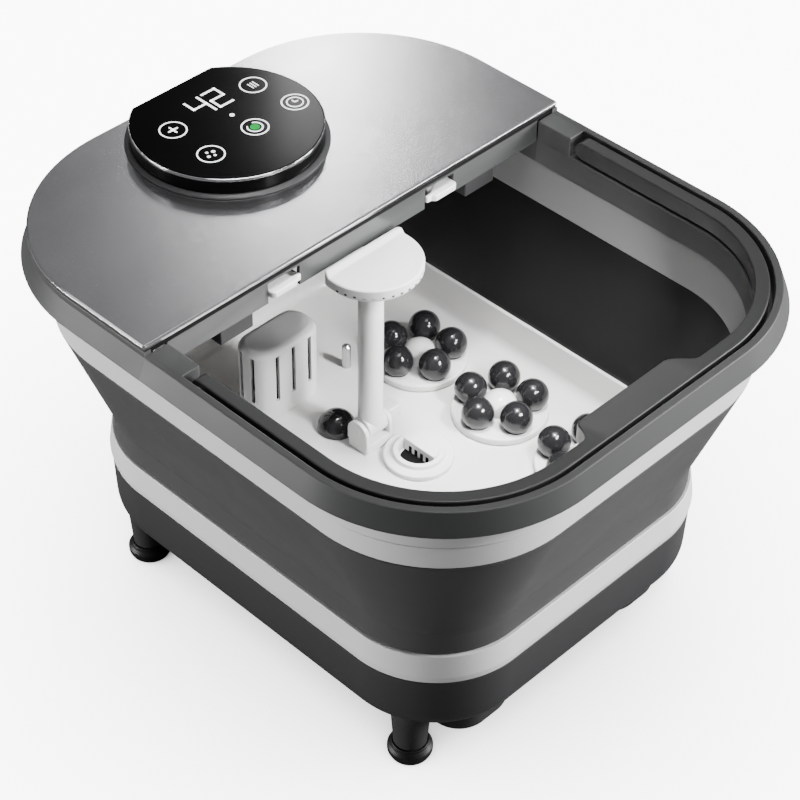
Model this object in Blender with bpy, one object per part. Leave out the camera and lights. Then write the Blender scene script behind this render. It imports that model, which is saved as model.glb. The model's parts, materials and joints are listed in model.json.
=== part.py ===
"""Collapsible foot spa basin with massage rollers and a folding shower column.

Metres, +Z up, origin on the floor under the middle of the basin.  The open end
faces -Y and the covered control end faces +Y.
"""
import math

import bmesh
import bpy
from mathutils import Matrix, Vector

# Clearances
GAP = 0.0003             # between pieces that touch
RUN = 0.0001             # radial, pin in its bore
SLIDE = 0.0004           # around a sliding or lift-out piece

# Outline of the rim's top edge, seen from above
TOP_WIDTH = 0.338
TOP_LENGTH = 0.400
FRONT_RADIUS = 0.101
BACK_RADIUS = 0.108
CORNER_STEPS = 6
HALF_WIDTH = TOP_WIDTH / 2
HALF_LENGTH = TOP_LENGTH / 2

# Feet and legs
FOOT_HEIGHT = 0.0107
FOOT_RADIUS = 0.0136
FOOT_NECK = 0.0112
FOOT_SOLE = 0.0122
FOOT_SIDE_INSET = 0.0605
FOOT_FRONT_INSET = 0.0795
FOOT_BACK_INSET = 0.0865
FOOT_X = HALF_WIDTH - FOOT_SIDE_INSET
FOOT_FRONT_Y = FOOT_FRONT_INSET - HALF_LENGTH
FOOT_BACK_Y = HALF_LENGTH - FOOT_BACK_INSET
LEG_HEIGHT = 0.0230
LEG_RADIUS = 0.0100
LEG_FLARE = 0.0025
LEG_ROOT = 0.0080        # how far a leg runs up into the base

# Base shell and the white band on it
BASE_INSET = 0.0385
BASE_DRAFT = 0.0010
BASE_SIDE = 0.0282
BASE_BEND = 0.0175
BASE_WALL = 0.0025
BAND_HEIGHT = 0.0203
BAND_WALL = 0.0066
BAND_BULGE = 0.0010
BAND_DRAFT = 0.0022
BAND_LEDGE = 0.0040
BAND_LEDGE_THICK = 0.0030

# Floor tray inside the band
TRAY_WALL = 0.0025
TRAY_FLOOR = 0.0030
TRAY_FILLET = 0.0030
FLOOR_BELOW_BAND = 0.0103

# Soft wall between the base and the rim
WALL_THICK = 0.0027
WALL_UPRIGHT = 0.0165
WALL_CONE = 0.0818
WALL_TOP_INSET = 0.0120

# Upper ring
RING_LOWER = 0.0194
RING_LOWER_DRAFT = 0.0020
RING_STEP = 0.0033
RING_STEP_RISE = 0.0010
RING_UPPER = 0.0142
RING_UPPER_DRAFT = 0.0002
RING_HOOK = 0.0052       # inner skirt, below the ring's bottom
RING_HOOK_INNER = 0.0235
RING_HOOK_OUTER = 0.0190
RING_HOOK_ROOT = 0.0170

# Rim
RIM_WALL = 0.0027
SKIRT_REACH = 0.0035     # the skirt's foot, outwards from the outline
SKIRT_DEPTH = 0.0143
RIM_EDGE = 0.0018        # the skirt's head, inwards from the outline
RIM_CHAMFER = 0.0010
LEDGE_INNER = 0.0065
SEAT_WIDTH = 0.0122
SEAT_DEPTH = 0.0135
RIM_DROP = 0.0101        # inner wall below the seat plate

# Carry handle
HANDLE_WIDTH = 0.0087
HANDLE_SIDE_GAP = 0.0028
HANDLE_PIVOT_Y = -0.0075
HANDLE_CHAMFER = 0.0015
GRIP_REACH = 0.0140      # grip past the handle's inner side
GRIP_BASE = 0.094
GRIP_EDGE = 0.076
PIN_RADIUS = 0.0027
PIN_IN_RIM = 0.0020
PIN_IN_HANDLE = 0.0045
PAD_CLEARANCE = 0.0030   # handle's end to the rim's pad

# Cover over the back half
COVER_FRONT_Y = 0.0280
COVER_PLATE = 0.0028
COVER_CHAMFER = 0.0010
COVER_CORNER = 0.0020
FRAME_HEIGHT = 0.0035
FRAME_WALL = 0.0060
FACE_SETBACK = 0.0005
FACE_THICK = 0.0025
FACE_DEPTH = 0.0194      # front face, below the cover plate
FACE_SIDE_GAP = 0.0020
CATCH_X = 0.0995
CATCH_WIDTH = 0.0250
CATCH_DEPTH = 0.0175
CATCH_DROP = 0.0100

# Lid latches
LATCH_X = 0.0633
LATCH_WIDTH = 0.0238
LATCH_THICK = 0.0045
LATCH_REACH = 0.0040
LATCH_TAIL = 0.0085
LATCH_STOP = 0.0030
LATCH_BELOW_PLATE = 0.0101
LATCH_HEADROOM = 0.0050  # the notch above the latch
LATCH_SHELF = 0.0020
LATCH_SHELF_LENGTH = 0.0130

# Touch panel
PANEL_RADIUS = 0.0588
PANEL_CUT = 0.0497       # from the panel's centre to its flat back edge
PANEL_BACK_INSET = 0.0100
PANEL_X = -0.0045
PANEL_Y = HALF_LENGTH - PANEL_BACK_INSET - PANEL_CUT
PANEL_STEPS = 28
PANEL_HOUSING = 0.0100
PANEL_WALL = 0.0025
PANEL_FLARE = 0.0020
GLASS_THICK = 0.0022
BOARD_THICK = 0.0016

# Control box under the cover
BOX_HALF_WIDTH = 0.0750
BOX_LENGTH = 0.0700
BOX_BACK_INSET = 0.0240
BOX_FRONT_Y = HALF_LENGTH - BOX_BACK_INSET - BOX_LENGTH
BOX_DEPTH = 0.0260
BOX_WALL = 0.0020
BOX_CORNER = 0.0060

# Massage rollers, in rows of three along each side
ROLLER_MIDDLE_X = -0.0030
ROLLER_SIDE_INSET = 0.0940
ROLLER_REACH = HALF_WIDTH - ROLLER_SIDE_INSET
ROLLER_BACK_Y = 0.0500
ROLLER_PITCH = 0.0705
ROLLER_ROWS = ("back", "middle", "front")
SIDES = (("left", -1.0), ("right", 1.0))
DISC_RADIUS = 0.0310
DISC_PLATE = 0.0020
DISC_SKIRT = 0.0020
DISC_FLOOR_GAP = 0.0008
DOME_RADIUS = 0.0119
DOME_HEIGHT = 0.0115
BALL_RADIUS = 0.0105
BALL_RING = 0.0206
BALL_COUNT = 5
BALL_HOLE_GAP = 0.0004
BALL_SINK = 0.0030       # ball's lowest point below the disc's top
WEB_THICK = 0.0020
WEB_RADIUS = 0.0270
SHAFT_RADIUS = 0.0040
SHAFT_CLEARANCE = 0.0004
GEAR_TEETH = 12
GEAR_THICK = 0.0060
GEAR_BELOW_FLOOR = 0.0090
GEAR_HUB_TAIL = 0.0080

# Gear motors in pods under the base
POD_SIDE_INSET = 0.1020
POD_X = HALF_WIDTH - POD_SIDE_INSET
POD_HALF_WIDTH = 0.0285
POD_FRONT_Y = -0.1480
POD_BACK_Y = 0.0150
POD_CORNER = 0.0220
POD_DEPTH = 0.0185
POD_WALL = 0.0025
MOTOR_RADIUS = 0.0110
MOTOR_BOX_RADIUS = 0.0190
MOTOR_BOX_HEIGHT = 0.0080
MOTOR_HOLE_GAP = 0.0020

# Heater housing
HEATER_X = -0.0160
HEATER_HALF_WIDTH = 0.0265
HEATER_FRONT_Y = 0.0740
HEATER_LENGTH = 0.0290
HEATER_HEIGHT = 0.0537
HEATER_WALL = 0.0020
HEATER_CORNER = 0.0120
HEATER_TOP_CHAMFER = 0.0030
SLOT_WIDTH = 0.0030
SLOT_PITCH = 0.0135
SLOT_COUNT = 3
SIDE_SLOT_PITCH = 0.0100
SLOT_HEIGHT = 0.0360
SLOT_TOP = 0.0010
ELEMENT_RADIUS = 0.0035
ELEMENT_SIDE_GAP = 0.0045
ELEMENT_SPAN = 2 * (HEATER_HALF_WIDTH - HEATER_WALL - ELEMENT_SIDE_GAP)
ELEMENT_RISE = 0.0260
ELEMENT_BEND = 0.0100
SENSOR_RADIUS = 0.0030
SENSOR_HEIGHT = 0.0180
SENSOR_X = 0.0350
SENSOR_Y = 0.0797

# Shower column
SHOWER_X = -0.0045
SHOWER_Y = 0.0180
SHOWER_PIVOT = 0.0160    # above the floor
RISER_HALF_WIDTH = 0.0115
RISER_HALF_LENGTH = 0.0085
RISER_CHEEK = 0.0030
RISER_TOP = 0.0070       # cheeks above the pivot
RISER_CORNER = 0.0020
POST_RADIUS = 0.0078
POST_BORE = 0.0045
POST_LENGTH = 0.1187     # pivot to the head
POST_BORE_END = 0.0140
SHOWER_PIN_RADIUS = 0.0030
PIN_LEVER = 0.0110
HEAD_HALF_WIDTH = 0.0310
HEAD_BACK = 0.0088       # flat side behind the post's axis
HEAD_FRONT = 0.0313
HEAD_BACK_CORNER = 0.0060
HEAD_HEIGHT = 0.0140
HEAD_EDGE = 0.0050

# Pump under the floor and its filter cap
PUMP_X = 0.0067
PUMP_Y = -0.0130
PUMP_RADIUS = 0.0195
PUMP_WALL = 0.0020
PUMP_DEPTH = 0.0245
PUMP_FLOOR = 0.0020
CAP_RADIUS = 0.0222
CAP_FLANGE = 0.0035
CAP_BODY_RADIUS = 0.0160
CAP_BODY_DEPTH = 0.0095
CAP_RECESS_RADIUS = 0.0128
CAP_RECESS = 0.0080
CAP_LIP = 0.0030
CAP_GRIP = 0.0022
IMPELLER_RADIUS = 0.0150
IMPELLER_HUB = 0.0045
IMPELLER_HEIGHT = 0.0060
IMPELLER_LIFT = 0.0010
BLADES = 6
PUMP_SHAFT_RADIUS = 0.0020
PUMP_SHAFT_TAIL = 0.0080
PUMP_MOTOR_RADIUS = 0.0170
PIPE_RADIUS = 0.0040
PIPE_BELOW_FLOOR = 0.0120

# Drain
DRAIN_X = -0.0104
DRAIN_Y = 0.0417
PLUG_RADIUS = 0.0125
PLUG_STEM_RADIUS = 0.0070
PLUG_STEM = 0.0055
DRAIN_WALL = 0.0020

# Cord gland in the back of the base
GLAND_ABOVE_BEND = 0.0165
GLAND_RADIUS = 0.0060
GLAND_FLANGE = 0.0095
GLAND_FLANGE_THICK = 0.0025
GLAND_NOSE = 0.0060
GLAND_NOSE_RADIUS = 0.0065
GLAND_TAIL = 0.0030

# Heights worked out from the stack above
BASE_BOTTOM = FOOT_HEIGHT + GAP + LEG_HEIGHT
BASE_TOP = BASE_BOTTOM + BASE_BEND + BASE_SIDE
BAND_BOTTOM = BASE_TOP + GAP
BAND_TOP = BAND_BOTTOM + BAND_HEIGHT
FLOOR_Z = BAND_TOP - FLOOR_BELOW_BAND
UNDER_FLOOR = FLOOR_Z - TRAY_FLOOR
WALL_BOTTOM = BAND_TOP + GAP
CREASE_Z = WALL_BOTTOM + WALL_UPRIGHT
WALL_TOP = CREASE_Z + WALL_CONE
RING_BOTTOM = WALL_TOP + GAP
RING_SHOULDER = RING_BOTTOM + RING_LOWER
RING_TOP = RING_SHOULDER + RING_STEP_RISE + RING_UPPER
SEAT_UNDER = RING_TOP + GAP
SEAT_Z = SEAT_UNDER + RIM_WALL
RIM_TOP = SEAT_Z + SEAT_DEPTH
FRAME_BOTTOM = RIM_TOP + GAP
PLATE_BOTTOM = FRAME_BOTTOM + FRAME_HEIGHT + GAP
COVER_TOP = PLATE_BOTTOM + COVER_PLATE
HOUSING_BOTTOM = COVER_TOP + GAP
GLASS_BOTTOM = HOUSING_BOTTOM + PANEL_HOUSING + GAP
PIVOT_Z = FLOOR_Z + SHOWER_PIVOT
DISC_BOTTOM = FLOOR_Z + DISC_FLOOR_GAP
DISC_TOP = DISC_BOTTOM + WEB_THICK + 2 * GAP + DISC_PLATE
GEAR_TOP = UNDER_FLOOR - GEAR_BELOW_FLOOR

# Insets worked out the same way
BAND_INNER = BASE_INSET + BAND_WALL - BAND_BULGE
TRAY_INSET = BAND_INNER + GAP
WALL_FOOT_INSET = BAND_INNER - WALL_THICK
SEAT_INNER = LEDGE_INNER + SEAT_WIDTH
HANDLE_OUTER = LEDGE_INNER + HANDLE_SIDE_GAP
HANDLE_INNER = HANDLE_OUTER + HANDLE_WIDTH
HANDLE_LOW = SEAT_Z + GAP
HANDLE_HIGH = RIM_TOP
HANDLE_PIVOT_Z = (HANDLE_LOW + HANDLE_HIGH) / 2
HANDLE_END = (HANDLE_HIGH - HANDLE_LOW) / 2

FINISHES = {
    "charcoal": ((0.115, 0.118, 0.120), 0.42, 0.0),
    "soft_charcoal": ((0.060, 0.061, 0.063), 0.55, 0.0),
    "white": ((0.80, 0.80, 0.79), 0.35, 0.0),
    "pale_grey": ((0.62, 0.63, 0.63), 0.45, 0.0),
    "silver": ((0.55, 0.56, 0.57), 0.30, 0.7),
    "black_gloss": ((0.010, 0.010, 0.011), 0.12, 0.0),
    "black_rubber": ((0.014, 0.014, 0.014), 0.55, 0.0),
    "dark_ball": ((0.050, 0.050, 0.052), 0.25, 0.0),
    "steel": ((0.60, 0.60, 0.61), 0.30, 1.0),
    "nylon": ((0.72, 0.71, 0.66), 0.50, 0.0),
    "board_green": ((0.03, 0.16, 0.08), 0.50, 0.0),
}


def clear_scene():
    """Remove every object that the file came with."""
    for item in list(bpy.data.objects):
        bpy.data.objects.remove(item, do_unlink=True)


def finish(name):
    """Return the named material, made on first use."""
    found = bpy.data.materials.get(name)
    if found:
        return found
    colour, roughness, metallic = FINISHES[name]
    made = bpy.data.materials.new(name)
    made.use_nodes = True
    shader = made.node_tree.nodes["Principled BSDF"]
    shader.inputs["Base Color"].default_value = (*colour, 1.0)
    shader.inputs["Roughness"].default_value = roughness
    shader.inputs["Metallic"].default_value = metallic
    return made


def rounded(x0, y0, x1, y1, front, back, steps=CORNER_STEPS):
    """Points of a rectangle with round corners, front radius at y0 and back radius at y1."""
    corners = (
        (x1 - front, y0 + front, front, -90),
        (x1 - back, y1 - back, back, 0),
        (x0 + back, y1 - back, back, 90),
        (x0 + front, y0 + front, front, 180),
    )
    points = []
    for cx, cy, radius, start in corners:
        for step in range(steps + 1):
            angle = math.radians(start + 90 * step / steps)
            points.append((cx + radius * math.cos(angle), cy + radius * math.sin(angle)))
    return points


def rim_outline(inset):
    """The basin's outline, moved inwards by inset from the rim's top edge."""
    half = HALF_WIDTH - inset
    length = HALF_LENGTH - inset
    return rounded(-half, -length, half, length, FRONT_RADIUS - inset, BACK_RADIUS - inset)


def cover_outline(inset, setback=0.0):
    """The cover's outline: the basin's back part, cut straight across at the front."""
    half = HALF_WIDTH - inset
    front = COVER_FRONT_Y + setback
    return rounded(-half, front, half, HALF_LENGTH - inset, COVER_CORNER, BACK_RADIUS - inset)


def panel_outline(inset):
    """The touch panel's outline: a circle cut straight at the back."""
    radius = PANEL_RADIUS - inset
    bite = math.asin((PANEL_CUT - inset) / radius)
    points = []
    for step in range(PANEL_STEPS + 1):
        angle = math.pi - bite + (math.pi + 2 * bite) * step / PANEL_STEPS
        points.append((PANEL_X + radius * math.cos(angle), PANEL_Y + radius * math.sin(angle)))
    return points


def circle(cx, cy, radius, count):
    """Points of a circle seen from above."""
    turn = 2 * math.pi / count
    return [(cx + radius * math.cos(turn * i), cy + radius * math.sin(turn * i)) for i in range(count)]


def at(points, z):
    """Lift flat points to height z."""
    return [Vector((x, y, z)) for x, y in points]


def loft(loops, closed=False):
    """Join loops of equal length by quads, and cap the ends unless the loops close on themselves."""
    shape = bmesh.new()
    rings = [[shape.verts.new(point) for point in loop] for loop in loops]
    count = len(rings[0])
    pairs = list(zip(rings, rings[1:]))
    if closed:
        pairs.append((rings[-1], rings[0]))
    for first, second in pairs:
        for i in range(count):
            j = (i + 1) % count
            shape.faces.new((first[i], first[j], second[j], second[i]))
    if not closed:
        shape.faces.new(rings[0])
        shape.faces.new(rings[-1])
    bmesh.ops.recalc_face_normals(shape, faces=shape.faces)
    return shape


def ring(profile):
    """Sweep a closed profile of (inset, z) points round the basin."""
    return loft([at(rim_outline(inset), z) for inset, z in profile], closed=True)


def bowl(profile):
    """Sweep an open profile of (inset, z) points round the basin and close both ends flat."""
    return loft([at(rim_outline(inset), z) for inset, z in profile])


def turned(profile, count, centre=(0.0, 0.0), closed=False):
    """Turn a profile of (radius, z) points about an upright axis."""
    return loft([at(circle(*centre, radius, count), z) for radius, z in profile], closed)


def prism(points, low, high):
    """An upright solid on the given outline."""
    return loft([at(points, low), at(points, high)])


def block(low, high):
    """A plain box between two corners."""
    (x0, y0, z0), (x1, y1, z1) = low, high
    return prism([(x0, y0), (x1, y0), (x1, y1), (x0, y1)], z0, z1)


def rod_x(x0, x1, y, z, radius, count=16):
    """A round rod along X."""
    ends = []
    for x in (x0, x1):
        ends.append([Vector((x, y + dy, z + dz)) for dy, dz in circle(0, 0, radius, count)])
    return loft(ends)


def make(name, shape, material, origin=(0.0, 0.0, 0.0), parent=None):
    """Turn a bmesh in world places into an object whose origin is at origin."""
    shape.transform(Matrix.Translation(-Vector(origin)))
    mesh = bpy.data.meshes.new(name)
    shape.to_mesh(mesh)
    shape.free()
    mesh.materials.append(finish(material))
    return place(name, mesh, origin, parent)


def place(name, mesh, origin, parent=None, turn=0.0):
    """Put a mesh, which copies may share, at origin and turn it about Z."""
    mesh.shade_smooth()
    mesh.set_sharp_from_angle(angle=math.radians(35))
    item = bpy.data.objects.new(name, mesh)
    item.location = origin
    item.rotation_euler = (0.0, 0.0, turn)
    item.parent = parent
    bpy.context.scene.collection.objects.link(item)
    return item


def group(name):
    """An empty that holds the pieces of one sub-assembly."""
    item = bpy.data.objects.new(name, None)
    bpy.context.scene.collection.objects.link(item)
    return item


def combine(target, shapes, operation):
    """Cut the shapes from target, or join them to it, one after another."""
    for shape in shapes:
        mesh = bpy.data.meshes.new("tool")
        shape.to_mesh(mesh)
        shape.free()
        tool = bpy.data.objects.new("tool", mesh)
        tool.matrix_world = Matrix.Translation(target.location)
        tool.hide_render = True
        tool.display_type = "WIRE"
        bpy.context.scene.collection.objects.link(tool)
        change = target.modifiers.new(operation.lower(), "BOOLEAN")
        change.operation = operation
        change.solver = "EXACT"
        change.object = tool
        bpy.context.view_layer.update()
        seen = target.evaluated_get(bpy.context.evaluated_depsgraph_get())
        result = bpy.data.meshes.new_from_object(seen)
        target.modifiers.remove(change)
        bpy.data.objects.remove(tool, do_unlink=True)
        target.data = result
    target.data.name = target.name
    target.data.set_sharp_from_angle(angle=math.radians(35))
    return target


def cut(target, *shapes):
    """Cut shapes, given about target's own origin, out of target."""
    return combine(target, shapes, "DIFFERENCE")


def join(target, *shapes):
    """Join shapes, given about target's own origin, to target."""
    return combine(target, shapes, "UNION")


def roller_x(sign):
    """Where a side's row of rollers stands across the basin."""
    return ROLLER_MIDDLE_X + sign * ROLLER_REACH


def roller_places():
    """Yield each roller's name, place and row number."""
    for side, sign in SIDES:
        for row, label in enumerate(ROLLER_ROWS):
            yield f"{side}_{label}", (roller_x(sign), ROLLER_BACK_Y - row * ROLLER_PITCH), row


def bend_profile(radius_change):
    """The base's rounded bottom edge as (inset, z) points, side first."""
    radius = BASE_BEND - radius_change
    inset = BASE_INSET + BASE_DRAFT + BASE_BEND
    height = BASE_BOTTOM + BASE_BEND
    points = []
    for degrees in (0, 30, 60, 90):
        angle = math.radians(degrees)
        points.append((inset - radius * math.cos(angle), height - radius * math.sin(angle)))
    return points


def build_base(parent):
    """Base shell with legs, its band, feet, pods and gland."""
    outer = [(BASE_INSET, BASE_TOP)] + bend_profile(0.0)
    inner = [(BASE_INSET + BASE_WALL, BASE_TOP)] + bend_profile(BASE_WALL)
    shell = make("base_shell", bowl(list(reversed(inner)) + outer), "charcoal", parent=parent)
    foot_places = []
    for end, y in (("front", FOOT_FRONT_Y), ("back", FOOT_BACK_Y)):
        for side, sign in SIDES:
            foot_places.append((f"{side}_{end}", (sign * FOOT_X, y)))
    leg_top = BASE_BOTTOM + LEG_ROOT
    leg_profile = [(LEG_RADIUS + LEG_FLARE, leg_top), (LEG_RADIUS, FOOT_HEIGHT + GAP)]
    join(shell, *[turned(leg_profile, 14, centre) for _, centre in foot_places])

    motor_hole = MOTOR_RADIUS + MOTOR_HOLE_GAP
    below, above = BASE_BOTTOM - POD_DEPTH, BASE_BOTTOM + BASE_BEND
    motor_y = ROLLER_BACK_Y - ROLLER_PITCH
    holes = [turned([(motor_hole, below), (motor_hole, above)], 20, (roller_x(sign), motor_y))
             for _, sign in SIDES]
    drain_hole = PLUG_STEM_RADIUS + SLIDE + DRAIN_WALL + GAP
    holes.append(turned([(drain_hole, below), (drain_hole, above)], 16, (DRAIN_X, DRAIN_Y)))
    gland_z = BASE_BOTTOM + BASE_BEND + GLAND_ABOVE_BEND
    back = HALF_LENGTH - BASE_INSET
    gland_hole = turned([(GLAND_RADIUS + GAP, -BASE_BEND), (GLAND_RADIUS + GAP, BASE_BEND)], 16)
    gland_hole.transform(Matrix.Translation((0, back, gland_z)) @ Matrix.Rotation(math.pi / 2, 4, "X"))
    cut(shell, *holes, gland_hole)

    band_ledge = BAND_INNER + BAND_LEDGE
    make("lower_band", ring([
        (BASE_INSET, BAND_BOTTOM),
        (BASE_INSET - BAND_BULGE, BAND_BOTTOM + BAND_HEIGHT * 0.25),
        (BASE_INSET - BAND_BULGE + BAND_DRAFT, BAND_TOP),
        (BAND_INNER, BAND_TOP),
        (BAND_INNER, BAND_BOTTOM + BAND_LEDGE_THICK),
        (band_ledge, BAND_BOTTOM + BAND_LEDGE_THICK),
        (band_ledge, BAND_BOTTOM),
    ]), "white", parent=parent)

    foot_profile = [
        (FOOT_NECK, FOOT_HEIGHT),
        (FOOT_RADIUS, FOOT_HEIGHT * 0.65),
        (FOOT_RADIUS, FOOT_HEIGHT * 0.35),
        (FOOT_SOLE, 0.0),
    ]
    foot = make("foot_left_front", turned(foot_profile, 14), "black_rubber", parent=parent)
    foot.location = (*foot_places[0][1], 0.0)
    for name, centre in foot_places[1:]:
        place(f"foot_{name}", foot.data, (*centre, 0.0), parent)

    pod_bottom = BASE_BOTTOM - GAP - POD_DEPTH
    pod_back = POD_BACK_Y - POD_FRONT_Y
    def pod_loop(inset, z):
        return at(rounded(-POD_HALF_WIDTH + inset, inset, POD_HALF_WIDTH - inset, pod_back - inset,
                          POD_CORNER - inset, POD_CORNER - inset, steps=4), z)
    pod_shape = loft([
        pod_loop(POD_WALL * 2, pod_bottom + POD_WALL),
        pod_loop(POD_WALL, BASE_BOTTOM - GAP),
        pod_loop(0.0, BASE_BOTTOM - GAP),
        pod_loop(POD_WALL, pod_bottom),
    ])
    pod = make("motor_pod_left", pod_shape, "charcoal", parent=parent)
    pod.location = (-POD_X, POD_FRONT_Y, 0.0)
    place("motor_pod_right", pod.data, (POD_X, POD_FRONT_Y, 0.0), parent)

    gland = turned([
        (GLAND_RADIUS, -GLAND_TAIL - BASE_WALL - BASE_DRAFT),
        (GLAND_RADIUS, GAP),
        (GLAND_FLANGE, GAP),
        (GLAND_FLANGE, GAP + GLAND_FLANGE_THICK),
        (GLAND_NOSE_RADIUS, GLAND_FLANGE_THICK + GLAND_NOSE),
    ], 16)
    gland.transform(Matrix.Translation((0, back, gland_z)) @ Matrix.Rotation(-math.pi / 2, 4, "X"))
    make("cord_gland", gland, "black_rubber", parent=parent)


def build_floor(parent):
    """Floor tray with its holes, the drain plug and the drain pipe."""
    inner = TRAY_INSET + TRAY_WALL
    skirt = inner + TRAY_FILLET / 3
    tray = make("floor_tray", bowl([
        (inner + TRAY_FILLET, FLOOR_Z),
        (inner, FLOOR_Z + TRAY_FILLET),
        (inner, CREASE_Z),
        (TRAY_INSET, CREASE_Z),
        (TRAY_INSET, BAND_BOTTOM + BAND_LEDGE_THICK + GAP),
        (skirt, BAND_BOTTOM + BAND_LEDGE_THICK + GAP),
        (skirt, UNDER_FLOOR),
    ]), "white", parent=parent)
    low, high = UNDER_FLOOR - TRAY_FLOOR, FLOOR_Z + TRAY_FLOOR
    def hole(centre, radius):
        return turned([(radius, low), (radius, high)], 16, centre)
    holes = [hole(centre, SHAFT_RADIUS + SHAFT_CLEARANCE) for _, centre, _ in roller_places()]
    holes.append(hole((PUMP_X, PUMP_Y), CAP_BODY_RADIUS + SLIDE))
    holes.append(hole((DRAIN_X, DRAIN_Y), PLUG_STEM_RADIUS + SLIDE))
    holes.append(hole((SHOWER_X, SHOWER_Y), PIPE_RADIUS + GAP))
    cut(tray, *holes)

    seat = FLOOR_Z + GAP
    dome = []
    for degrees in (76, 52, 28, 0):
        angle = math.radians(degrees)
        dome.append((PLUG_RADIUS * math.cos(angle), seat + PLUG_RADIUS * math.sin(angle)))
    stem = [(PLUG_STEM_RADIUS, seat), (PLUG_STEM_RADIUS, FLOOR_Z - PLUG_STEM)]
    plug = turned(dome + stem, 14, (DRAIN_X, DRAIN_Y))
    make("drain_plug", plug, "black_rubber", (DRAIN_X, DRAIN_Y, FLOOR_Z), parent)

    bore = PLUG_STEM_RADIUS + SLIDE
    make("drain_pipe", turned([
        (bore, UNDER_FLOOR - GAP),
        (bore + DRAIN_WALL, UNDER_FLOOR - GAP),
        (bore + DRAIN_WALL, BASE_BOTTOM),
        (bore, BASE_BOTTOM),
    ], 16, (DRAIN_X, DRAIN_Y), closed=True), "pale_grey", parent=parent)


def gear_outline(root, tip, pitch_radius):
    """Outline of a gear with straight-sided teeth, the first tooth on +Y."""
    pitch = 2 * math.pi / GEAR_TEETH
    points = []
    for tooth in range(GEAR_TEETH):
        middle = math.pi / 2 + tooth * pitch
        for radius, share in ((root, -0.28), (tip, -0.11), (tip, 0.11), (root, 0.28)):
            angle = middle + share * pitch
            points.append((radius * math.cos(angle), radius * math.sin(angle)))
    return points


def build_rollers(parent):
    """Massage discs, ball carriers and the gears that drive them."""
    disc = make("roller_disc_left_back", turned([
        (DOME_RADIUS * 0.35, DISC_TOP + DOME_HEIGHT),
        (DOME_RADIUS * 0.80, DISC_TOP + DOME_HEIGHT * 0.70),
        (DOME_RADIUS, DISC_TOP),
        (DISC_RADIUS - DISC_SKIRT / 2, DISC_TOP),
        (DISC_RADIUS, DISC_TOP - DISC_PLATE / 2),
        (DISC_RADIUS, DISC_BOTTOM),
        (DISC_RADIUS - DISC_SKIRT, DISC_BOTTOM),
        (DISC_RADIUS - DISC_SKIRT, DISC_TOP - DISC_PLATE),
    ], 18), "white", parent=parent)
    ball_z = DISC_TOP - BALL_SINK + BALL_RADIUS
    ball_hole = math.sqrt(BALL_RADIUS ** 2 - (ball_z - DISC_TOP) ** 2) + BALL_HOLE_GAP
    ball_places = [(-x, y) for x, y in circle(0, 0, BALL_RING, BALL_COUNT)]
    cut(disc, *[turned([(ball_hole, DISC_BOTTOM), (ball_hole, DISC_TOP + GAP)], 8, centre)
                for centre in ball_places])

    web_top = DISC_TOP - DISC_PLATE - GAP
    shaft_hole = SHAFT_RADIUS + SHAFT_CLEARANCE
    carrier = make("roller_balls_left_back", turned([
        (shaft_hole, web_top),
        (WEB_RADIUS, web_top),
        (WEB_RADIUS, web_top - WEB_THICK),
        (shaft_hole, web_top - WEB_THICK),
    ], 14, closed=True), "dark_ball", parent=parent)
    latitudes = [math.radians(a) for a in (75, 40, 5, -30, -70)]
    ball = [(BALL_RADIUS * math.cos(a), ball_z + BALL_RADIUS * math.sin(a)) for a in latitudes]
    ball[-1] = (ball[-1][0], web_top - WEB_THICK / 2)
    join(carrier, *[turned(ball, 8, centre) for centre in ball_places])

    pitch_radius = ROLLER_PITCH / 2
    module = 2 * pitch_radius / GEAR_TEETH
    teeth = gear_outline(pitch_radius - module, pitch_radius + 0.8 * module, pitch_radius)
    gear = make("roller_gear_left_back", prism(teeth, GEAR_TOP - GEAR_THICK, GEAR_TOP), "nylon",
                parent=parent)
    join(gear, turned([(SHAFT_RADIUS, web_top), (SHAFT_RADIUS, GEAR_TOP - GEAR_THICK - GEAR_HUB_TAIL)], 12))

    masters = {"disc": disc, "balls": carrier, "gear": gear}
    half_tooth = math.pi / GEAR_TEETH
    for name, (x, y), row in roller_places():
        for kind, master in masters.items():
            label = f"roller_{kind}_{name}"
            turn = half_tooth if kind == "gear" and row == 1 else 0.0
            if label == master.name:
                master.location = (x, y, 0.0)
            else:
                place(label, master.data, (x, y, 0.0), parent, turn)


def build_motors(parent):
    """Gear motors that stand in the pods under the middle rollers."""
    bottom = BASE_BOTTOM - GAP - POD_DEPTH + POD_WALL + GAP
    top = GEAR_TOP - GEAR_THICK - GAP
    socket = SHAFT_RADIUS + RUN
    shape = turned([
        (socket, top - GEAR_HUB_TAIL),
        (socket, top),
        (MOTOR_BOX_RADIUS, top),
        (MOTOR_BOX_RADIUS, top - MOTOR_BOX_HEIGHT),
        (MOTOR_RADIUS, top - MOTOR_BOX_HEIGHT),
        (MOTOR_RADIUS, bottom),
    ], 18)
    motor = make("gear_motor_left", shape, "steel", parent=parent)
    y = ROLLER_BACK_Y - ROLLER_PITCH
    motor.location = (roller_x(-1.0), y, 0.0)
    place("gear_motor_right", motor.data, (roller_x(1.0), y, 0.0), parent)


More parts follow.
